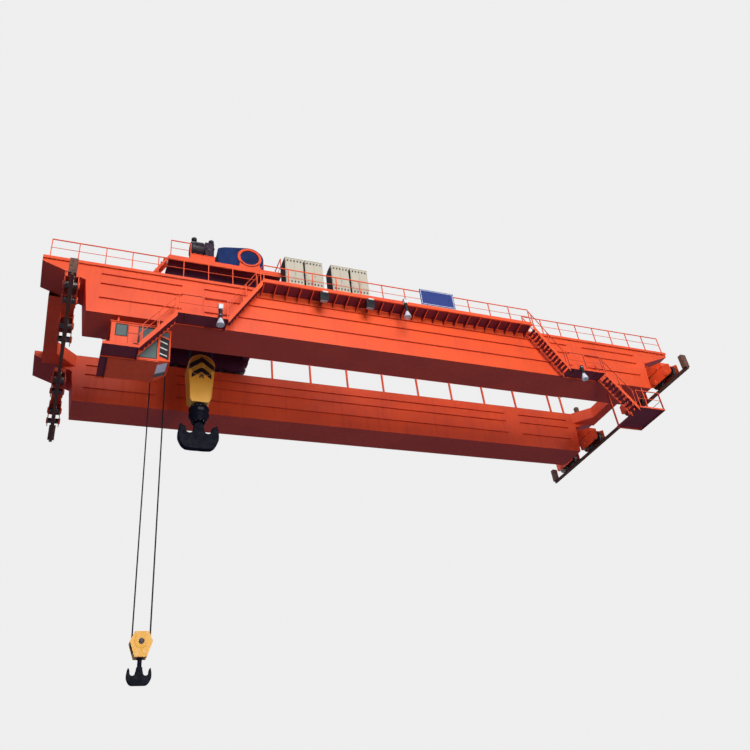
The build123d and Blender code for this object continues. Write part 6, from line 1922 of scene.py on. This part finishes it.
class CRANE_OT_trolley_fittings(bpy.types.Operator):
    """Add the axle caps, the cover's bolted round guard and the side plates of the wheel boxes"""

    bl_idname = "crane.trolley_fittings"
    bl_label = "Trolley Fittings"

    axle_cap = ((0.12, 0.0), (0.12, 0.018), (0.085, 0.03), (0.02, 0.032))
    ring_width = 0.15
    flange_width = 0.05
    plate_face = 0.02
    plate_back = 0.045
    foot_angle = 30
    tie_rise = 0.12
    pair_reach = 1.2
    box_slack = 0.05

    def execute(self, context):
        """Make the trolley's small ironwork."""
        bolt = context.scene.crane_bridge.bolt
        self.axle_caps(bolt)
        self.round_guard(bolt)
        self.bogie_sides()
        return {"FINISHED"}

    def axle_caps(self, bolt):
        """A round cap with four bolts on each end of every trolley axle."""
        shape = Shape()
        for low, high in solid_boxes("trolley_wheels"):
            x = (low.x + high.x) / 2
            axle = (low.z + high.z) / 2
            for side, face in ((-1, low.y), (1, high.y)):
                shape.skin = 0
                shape.cap(self.axle_cap, (x, face, axle), 1, side, 28)
                shape.skin = 1
                shape.bolt_ring((x, face + side * 0.016, axle), 1, 0.095, 4, bolt * 0.4, side, 0.5)
        shape.make("trolley_axle_caps", "trolley", "machine_grey", "machine zinc", 0.004)

    def round_guard(self, bolt):
        """The cover's round guard: a rolled ring with a thin flange, its bolts and a webbed foot."""
        low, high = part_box("cover_ring")
        cx = (low.x + high.x) / 2
        outer = (high.x - low.x) / 2
        cz = high.z - outer
        y0, y1 = low.y, high.y
        face, back = y0 + self.plate_face, y0 + self.plate_back
        inner = outer - self.ring_width
        flange = outer - self.flange_width
        ring = [(inner, y0), (inner, y1), (flange, y1), (flange, back)]
        ring += [(outer, back), (outer, face), (flange, face), (flange, y0)]
        shape = Shape()
        shape.turned(ring, (cx, 0.0, cz), 1, 72, True)
        seat = flange - 0.01
        foot = arc((cx, cz), seat, 180 + self.foot_angle, 360 - self.foot_angle, 20)
        foot += [(cx + outer * 0.94, low.z), (cx - outer * 0.94, low.z)]
        shape.prism(foot, 1, face, back)
        for x in (cx - outer * 0.62, cx, cx + outer * 0.62):
            top = cz - math.sqrt(seat**2 - (x - cx) ** 2)
            shape.block((x - 0.012, y0 + 0.04, low.z), (x + 0.012, y1, top))
        shape.block((cx - outer * 0.96, y0, low.z), (cx + outer * 0.96, y1, low.z + 0.025))
        shape.bolt_ring((cx, y0, cz), 1, (inner + flange) / 2, 20, bolt * 0.5, -1, 0.5)
        made = shape.make("cover_round_guard", "trolley", "painted_orange", "orange", 0.004)
        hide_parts("cover_ring")

    def bogie_sides(self):
        """Side plates of each wheel pair's box, and a long tie plate between the boxes."""
        shape = Shape()
        boxes = solid_boxes("trolley_wheels")
        for (low, high), (other_low, other_high) in product(boxes, repeat=2):
            level = abs(other_low.y - low.y) < self.box_slack
            if not (level and 0.0 < other_low.x - low.x < self.pair_reach):
                continue
            radius = (high.z - low.z) / 2
            x0 = (low.x + high.x) / 2
            x1 = (other_low.x + other_high.x) / 2
            axle = low.z + radius
            top, foot = axle + radius, axle - radius * 0.78
            outline = [(x0 - 0.2, top), (x0 - 0.12, axle - 0.16), (x0 + 0.16, foot)]
            outline += [(x1 - 0.16, foot), (x1 + 0.12, axle - 0.16), (x1 + 0.2, top)]
            for y0, y1 in self.plate_places(low, high):
                shape.prism(outline, 1, y0, y1)
            inside = (x0 + radius + 0.02, low.y - 0.04, axle - radius * 0.6)
            shape.block(inside, (x1 - radius - 0.02, high.y + 0.04, top))
        for y in sorted({round(low.y, 2) for low, high in boxes}):
            row = [(low, high) for low, high in boxes if abs(low.y - y) < self.box_slack]
            low, high = row[1]
            end = row[-2][0].x + 0.1
            for y0, y1 in self.plate_places(low, high):
                shape.block((high.x - 0.1, y0, low.z + self.tie_rise), (end, y1, high.z))
        shape.make("trolley_bogie_sides", "trolley", "machine_grey", "under", 0.006)

    def plate_places(self, low, high):
        """Where the two side plates beside a wheel start and end, across the trolley."""
        return ((low.y - 0.05, low.y - 0.03), (high.y + 0.03, high.y + 0.05))


# Hoists


def smooth_line(points, steps):
    """A curve through every point, with steps pieces between each two."""
    made = []
    last = len(points) - 1
    for i in range(last):
        before = points[max(0, i - 1)]
        here, after = points[i], points[i + 1]
        beyond = points[min(last, i + 2)]
        for k in range(steps):
            t = k / steps
            spot = []
            for a, b, c, d in zip(before, here, after, beyond):
                turn = (2 * a - 5 * b + 4 * c - d) * t * t + (3 * b - a - 3 * c + d) * t**3
                spot.append(b + ((c - a) * t + turn) / 2)
            made.append(tuple(spot))
    made.append(tuple(points[-1]))
    return made


def blended_mesh(shape, name, voxel, rounds):
    """The gathered solids fused into one skin, and smoothed as a forging's edges are."""
    mesh = bpy.data.meshes.new(name)
    mesh.from_pydata([tuple(p) for p in shape.points], [], shape.faces)
    rough = bpy.data.objects.new(name, mesh)
    bpy.context.scene.collection.objects.link(rough)
    fuse = rough.modifiers.new("fuse", "REMESH")
    fuse.mode = "VOXEL"
    fuse.voxel_size = voxel
    smooth = rough.modifiers.new("smooth", "SMOOTH")
    smooth.factor = 0.5
    smooth.iterations = rounds
    ready = rough.evaluated_get(bpy.context.evaluated_depsgraph_get())
    fused = bpy.data.meshes.new_from_object(ready)
    bpy.data.objects.remove(rough)
    bpy.data.meshes.remove(mesh)
    fused.name = name
    return fused


def hook_outline(x, low, high, half, shank, throat):
    """The silhouette of a double hook between its foot and its horns' tips: the right half is
    drawn, and mirrored. throat is (reach, height, radius) of a sling's round seat."""
    drop = high - low
    reach, level, radius = throat
    seat = [(reach + u, level + v) for u, v in arc((0.0, 0.0), radius, 180, 360, 18)]
    outer = [
        (reach + radius * 1.06, level + (high - level) * 0.5),
        (half * 0.81, high - drop * 0.045),
        (half * 0.87, high),
        (half * 0.93, high - drop * 0.06),
        (half * 0.985, high - drop * 0.3),
        (half, high - drop * 0.48),
        (half * 0.97, high - drop * 0.63),
        (half * 0.82, high - drop * 0.86),
        (half * 0.62, high - drop * 0.98),
        (half * 0.4, low),
        (0.0, low),
    ]
    neck = [(shank * 1.3, high + drop * 0.05), (shank * 1.42, high - drop * 0.12)]
    right = neck + seat + smooth_line(outer, 6)
    left = [(-u, v) for u, v in reversed(right[:-1])]
    return [(x + u, v) for u, v in right + left]


def double_hook_mesh(name, box, thick, shank, throat, blending, top):
    """A double hook with its saddle, horns and round shank in one forging. blending is the mesh
    size at which its solids are fused, and how many rounds of smoothing follow."""
    low, high, horn = box
    x = (low.x + high.x) / 2
    y = (low.y + high.y) / 2
    half = (high.x - low.x) / 2
    shape = Shape()
    outline = hook_outline(x, low.z, horn, half, shank, throat)
    shape.prism(outline, 1, y - thick / 2, y + thick / 2)
    shape.turned([(shank, throat[1] - throat[2] * 0.6), (shank, top)], (x, y, 0.0), 2, 32)
    return blended_mesh(shape, name, *blending)


# Each hook's plate thickness, shank radius, centre over its foot, horns' height over that, and
# throat as (reach, height over the centre, radius).
MAIN_HOOK = (0.34, 0.185, 0.82, 0.62, (0.48, 0.29, 0.19))
AUX_HOOK = (0.18, 0.095, 0.43, 0.2666, (0.275, 0.066, 0.11))


class CRANE_OT_hooks(bpy.types.Operator):
    """Forge both double hooks as rounded, blended shapes in place of the plain packed ones"""

    bl_idname = "crane.hooks"
    bl_label = "Double Hooks"

    def execute(self, context):
        """Make the main hook, which turns in its crosshead, and the auxiliary hook."""
        voxel = context.scene.crane_hoist.forging
        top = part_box("main_crosshead")[0].z + 0.3
        self.forge("main_hook", "main_double_hook", "main_hook", MAIN_HOOK, (voxel, 14), top)
        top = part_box("aux_block_housing")[0].z - 0.002
        self.forge("aux_hook", "aux_double_hook", "aux_block", AUX_HOOK, (voxel * 0.6, 12), top)
        return {"FINISHED"}

    def forge(self, node, name, body, sizes, blending, top):
        """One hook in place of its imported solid, its shank running up to a level."""
        thick, shank, middle, rise, (reach, level, radius) = sizes
        low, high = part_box(node)
        centre = low.z + middle
        throat = (reach, centre + level, radius)
        box = (low, high, centre + rise)
        mesh = double_hook_mesh(f"{node}_mesh", box, thick, shank, throat, blending, top)
        made = finish_mesh(mesh, name, body, "forged", angle=80.0)
        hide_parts(node)


STRANDS = 6
STRAND_HOLLOW = 0.8
RINGS_PER_LAY = 16


def rope_fall(shape, low, high, lay):
    """One upright fall of stranded rope: a lobed section that turns once round in a lay."""
    x = (low.x + high.x) / 2
    y = (low.y + high.y) / 2
    radius = (high.x - low.x) / 2
    tall = high.z - low.z
    steps = round(tall / lay * RINGS_PER_LAY)
    rings = []
    for i in range(steps + 1):
        ring = []
        for k in range(STRANDS * 2):
            angle = 2 * math.pi * tall / lay * i / steps + math.pi * k / STRANDS
            reach = radius * (STRAND_HOLLOW if k % 2 else 1.0)
            ring.append((x + reach * math.cos(angle), y + reach * math.sin(angle), low.z + tall * i / steps))
        rings.append(ring)
    shape.loft(rings)


class CRANE_OT_ropes(bpy.types.Operator):
    """Replace the ropes' plain falls with stranded ones, for both hoists"""

    bl_idname = "crane.ropes"
    bl_label = "Ropes"

    def execute(self, context):
        """Make the main and the auxiliary hoist's falls."""
        lay = context.scene.crane_hoist.lay
        for node, name, block in (
            ("main_ropes", "main_rope_falls", "main_block"),
            ("aux_ropes", "aux_rope_falls", "aux_block"),
        ):
            shape = Shape()
            for low, high in solid_boxes(node):
                rope_fall(shape, low, high, lay)
            made = shape.make(name, None, "rope_steel", "rope", angle=80.0)
            low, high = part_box(node)
            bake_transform(made)
            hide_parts(node)
        return {"FINISHED"}


# The crosshead's upper profile, in shares of its half width and of its height.
HEAD_FLANKS = (
    (0.8, 0.16),
    (0.97, 0.3),
    (0.97, 0.36),
    (1.0, 0.37),
    (1.0, 0.41),
    (0.95, 0.42),
    (0.95, 0.66),
    (1.0, 0.67),
    (1.0, 0.72),
    (0.94, 0.74),
    (0.86, 0.84),
)
HEAD_BORE = 0.21
NAME_PLATE = (0.3, 0.03, 0.16)


class CRANE_OT_crosshead(bpy.types.Operator):
    """Turn the crosshead with its thrust housing, collars, gland ring and bolts"""

    bl_idname = "crane.crosshead"
    bl_label = "Crosshead"

    def execute(self, context):
        """Make the crosshead in place of the plain packed one."""
        bolt = context.scene.crane_bridge.bolt
        low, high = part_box("main_crosshead")
        x, y = (low.x + high.x) / 2, (low.y + high.y) / 2
        wide = (high.x - low.x) / 2
        tall = high.z - low.z
        lip = low.z + 0.02
        profile = [(HEAD_BORE, lip), (0.3, low.z), (0.37, low.z), (0.385, lip), (0.385, low.z + 0.07)]
        profile += [(wide * share, low.z + tall * rise) for share, rise in HEAD_FLANKS]
        profile += [(0.35, high.z - 0.06), (0.33, high.z - 0.02), (0.33, high.z), (HEAD_BORE, high.z)]
        shape = Shape()
        shape.turned(profile, (x, y, 0.0), 2, 64, True)
        shape.skin = 1
        shape.bolt_ring((x, y, low.z + tall * 0.735), 2, wide * 0.9, 16, bolt * 0.9)
        shape.bolt_ring((x, y, low.z), 2, 0.335, 10, bolt * 0.7, -1, 0.5)
        shape.skin = 2
        for side in SIDES:
            shape.box_at((x, y + side * wide * 0.955, low.z + tall * 0.54), NAME_PLATE)
        finishes = "forged zinc casting"
        made = shape.make("crosshead_forging", "main_block", "forged_steel", finishes, 0.006)
        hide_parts("main_crosshead")
        return {"FINISHED"}


def rim_path(x, z, waist, foot, low, y):
    """The edge of a block's cheek: round over the sheaves, then straight down to its foot."""
    return [(x - foot, y, low), *((u, y, v) for u, v in arc((x, z), waist, 180, 0, 28)), (x + foot, y, low)]


# Profiles of the blocks' round covers and pin caps are (radius, height over the cheek).
DISC_PROUD = 0.03
PIN_CAP = ((0.17, 0.0), (0.17, 0.035), (0.13, 0.055), (0.05, 0.058))
RIM_INSET = 0.012
RIM_FOOT = 0.55
FOOT_RISE = 0.18
TIE_SIZE = (0.03, 0.66, 0.06)
AUX_RING = ((0.3, 0.0), (0.3, 0.012), (0.27, 0.018), (0.14, 0.018))
AUX_CAP = ((0.12, 0.0), (0.12, 0.03), (0.09, 0.042), (0.03, 0.044))
AUX_AXIS_DROP = 0.42


class CRANE_OT_blocks(bpy.types.Operator):
    """Fit covers, rims, pin caps, ties and bolts to the main and the auxiliary block"""

    bl_idname = "crane.blocks"
    bl_label = "Hook Blocks"

    def execute(self, context):
        """Make both blocks' fittings."""
        bolt = context.scene.crane_bridge.bolt
        self.main_block(bolt)
        self.aux_block(bolt)
        return {"FINISHED"}

    def main_block(self, bolt):
        """Bolted round covers on the cheeks, their rims and pin caps, the ties between the cheeks
        and the foot's bolts."""
        low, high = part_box("main_block_housing")
        x = (low.x + high.x) / 2
        radius = (high.x - low.x) / 2
        axis = high.z - radius
        foot = low.z + FOOT_RISE
        disc = [(radius - 0.045, 0.0), (radius - 0.045, DISC_PROUD * 0.6), (radius - 0.07, DISC_PROUD)]
        disc += [(0.2, DISC_PROUD), (0.19, DISC_PROUD * 0.8), (0.02, DISC_PROUD * 0.8)]
        shape = Shape()
        for side, face in ((-1, low.y), (1, high.y)):
            proud = face + side * DISC_PROUD
            shape.skin = 0
            shape.cap(disc, (x, face, axis), 1, side, 72)
            shape.tube(rim_path(x, axis, radius - RIM_INSET, RIM_FOOT, foot, face - side * 0.01), 0.018, 8)
            shape.hoop((x, face + side * DISC_PROUD * 0.5, axis), radius - 0.03, 0.022, 64)
            shape.cap(PIN_CAP, (x, proud, axis), 1, side, 36)
            shape.skin = 2
            place = (x, face + side * (DISC_PROUD + 0.034), axis)
            shape.bolt_ring(place, 1, 0.145, 8, bolt * 0.45, side, 0.5)
            shape.bolt_ring((x, proud, axis), 1, radius - 0.095, 24, bolt * 0.4, side)
        shape.skin = 0
        for side in SIDES:
            for z in spaced(low.z + 0.32, axis - 0.1, 0.34):
                edge = radius - (axis - z) / (axis - low.z - 0.16) * (radius - RIM_FOOT)
                shape.box_at((x + side * (edge - 0.002), 0.0, z), TIE_SIZE)
        shape.skin = 2
        for u in spaced(x - 0.36, x + 0.36, 0.18):
            for side in SIDES:
                shape.bolt((u, side * 0.26, low.z + 0.002), 2, bolt * 0.8, -1)
        shape.make("main_block_covers", "main_block", "block_yellow", "block machine zinc", 0.004)

    def aux_block(self, bolt):
        """Bolted rings and pin caps on the cheeks, the cheeks' bolts and the foot's collar."""
        low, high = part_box("aux_block_housing")
        x = (low.x + high.x) / 2
        y = (low.y + high.y) / 2
        axis = high.z - AUX_AXIS_DROP
        shape = Shape()
        for side, face in ((-1, low.y), (1, high.y)):
            shape.skin = 0
            shape.cap(AUX_RING, (x, face, axis), 1, side, 40)
            shape.skin = 1
            shape.cap(AUX_CAP, (x, face + side * 0.012, axis), 1, side, 30)
            shape.skin = 2
            shape.bolt_ring((x, face + side * 0.04, axis), 1, 0.1, 6, bolt * 0.35, side)
            for k in SIDES:
                for reach, z, size in (
                    (0.2, low.z + 0.1, 0.6),
                    (0.12, low.z + 0.24, 0.6),
                    (0.22, high.z - 0.08, 0.5),
                ):
                    shape.bolt((x + k * reach, face, z), 1, bolt * size, side)
        shape.skin = 1
        collar = [(0.17, low.z + 0.002), (0.17, low.z - 0.03), (0.13, low.z - 0.05)]
        shape.turned(collar, (x, y, 0.0), 2, 36)
        shape.make("aux_block_fittings", "aux_block", "block_yellow", "block machine zinc", 0.003)


# Panel and running


SETTINGS = {
    "crane_colours": CraneColours,
    "crane_stage": StageSettings,
    "crane_bridge": BridgeSizes,
    "crane_trolley": TrolleySizes,
    "crane_hoist": HoistSizes,
}
OPERATORS = (
    CRANE_OT_stage,
    CRANE_OT_finishes,
    CRANE_OT_walkway_brackets,
    CRANE_OT_supply_track,
    CRANE_OT_rail_clips,
    CRANE_OT_travel_gear,
    CRANE_OT_cabinets,
    CRANE_OT_notice_board,
    CRANE_OT_cab,
    CRANE_OT_lamps,
    CRANE_OT_drum_cover,
    CRANE_OT_winches,
    CRANE_OT_trolley_fittings,
    CRANE_OT_hooks,
    CRANE_OT_ropes,
    CRANE_OT_crosshead,
    CRANE_OT_blocks,
)


class CRANE_PT_panel(bpy.types.Panel):
    """Lists the crane's settings and the steps that dress it"""

    bl_label = "Overhead Crane"
    bl_idname = "CRANE_PT_panel"
    bl_space_type = "VIEW_3D"
    bl_region_type = "UI"
    bl_category = "Crane"

    def draw(self, context):
        """Draw one button for each step, then each group of settings."""
        layout = self.layout
        for step in OPERATORS:
            layout.operator(step.bl_idname)
        for name, group in SETTINGS.items():
            box = layout.box()
            for setting in group.__annotations__:
                box.prop(getattr(context.scene, name), setting)


def register():
    """Register every class, and hang the settings on the scene."""
    for step in (*SETTINGS.values(), *OPERATORS, CRANE_PT_panel):
        bpy.utils.register_class(step)
    for name, group in SETTINGS.items():
        setattr(bpy.types.Scene, name, bpy.props.PointerProperty(type=group))


def unregister():
    """Take the settings off the scene, and unregister every class."""
    for name in SETTINGS:
        delattr(bpy.types.Scene, name)
    for step in (CRANE_PT_panel, *reversed(OPERATORS), *SETTINGS.values()):
        bpy.utils.unregister_class(step)


def main():
    """Dress the whole crane."""
    register()
    for step in OPERATORS:
        group, name = step.bl_idname.split(".")
        getattr(getattr(bpy.ops, group), name)()


if __name__ == "__main__":
    main()
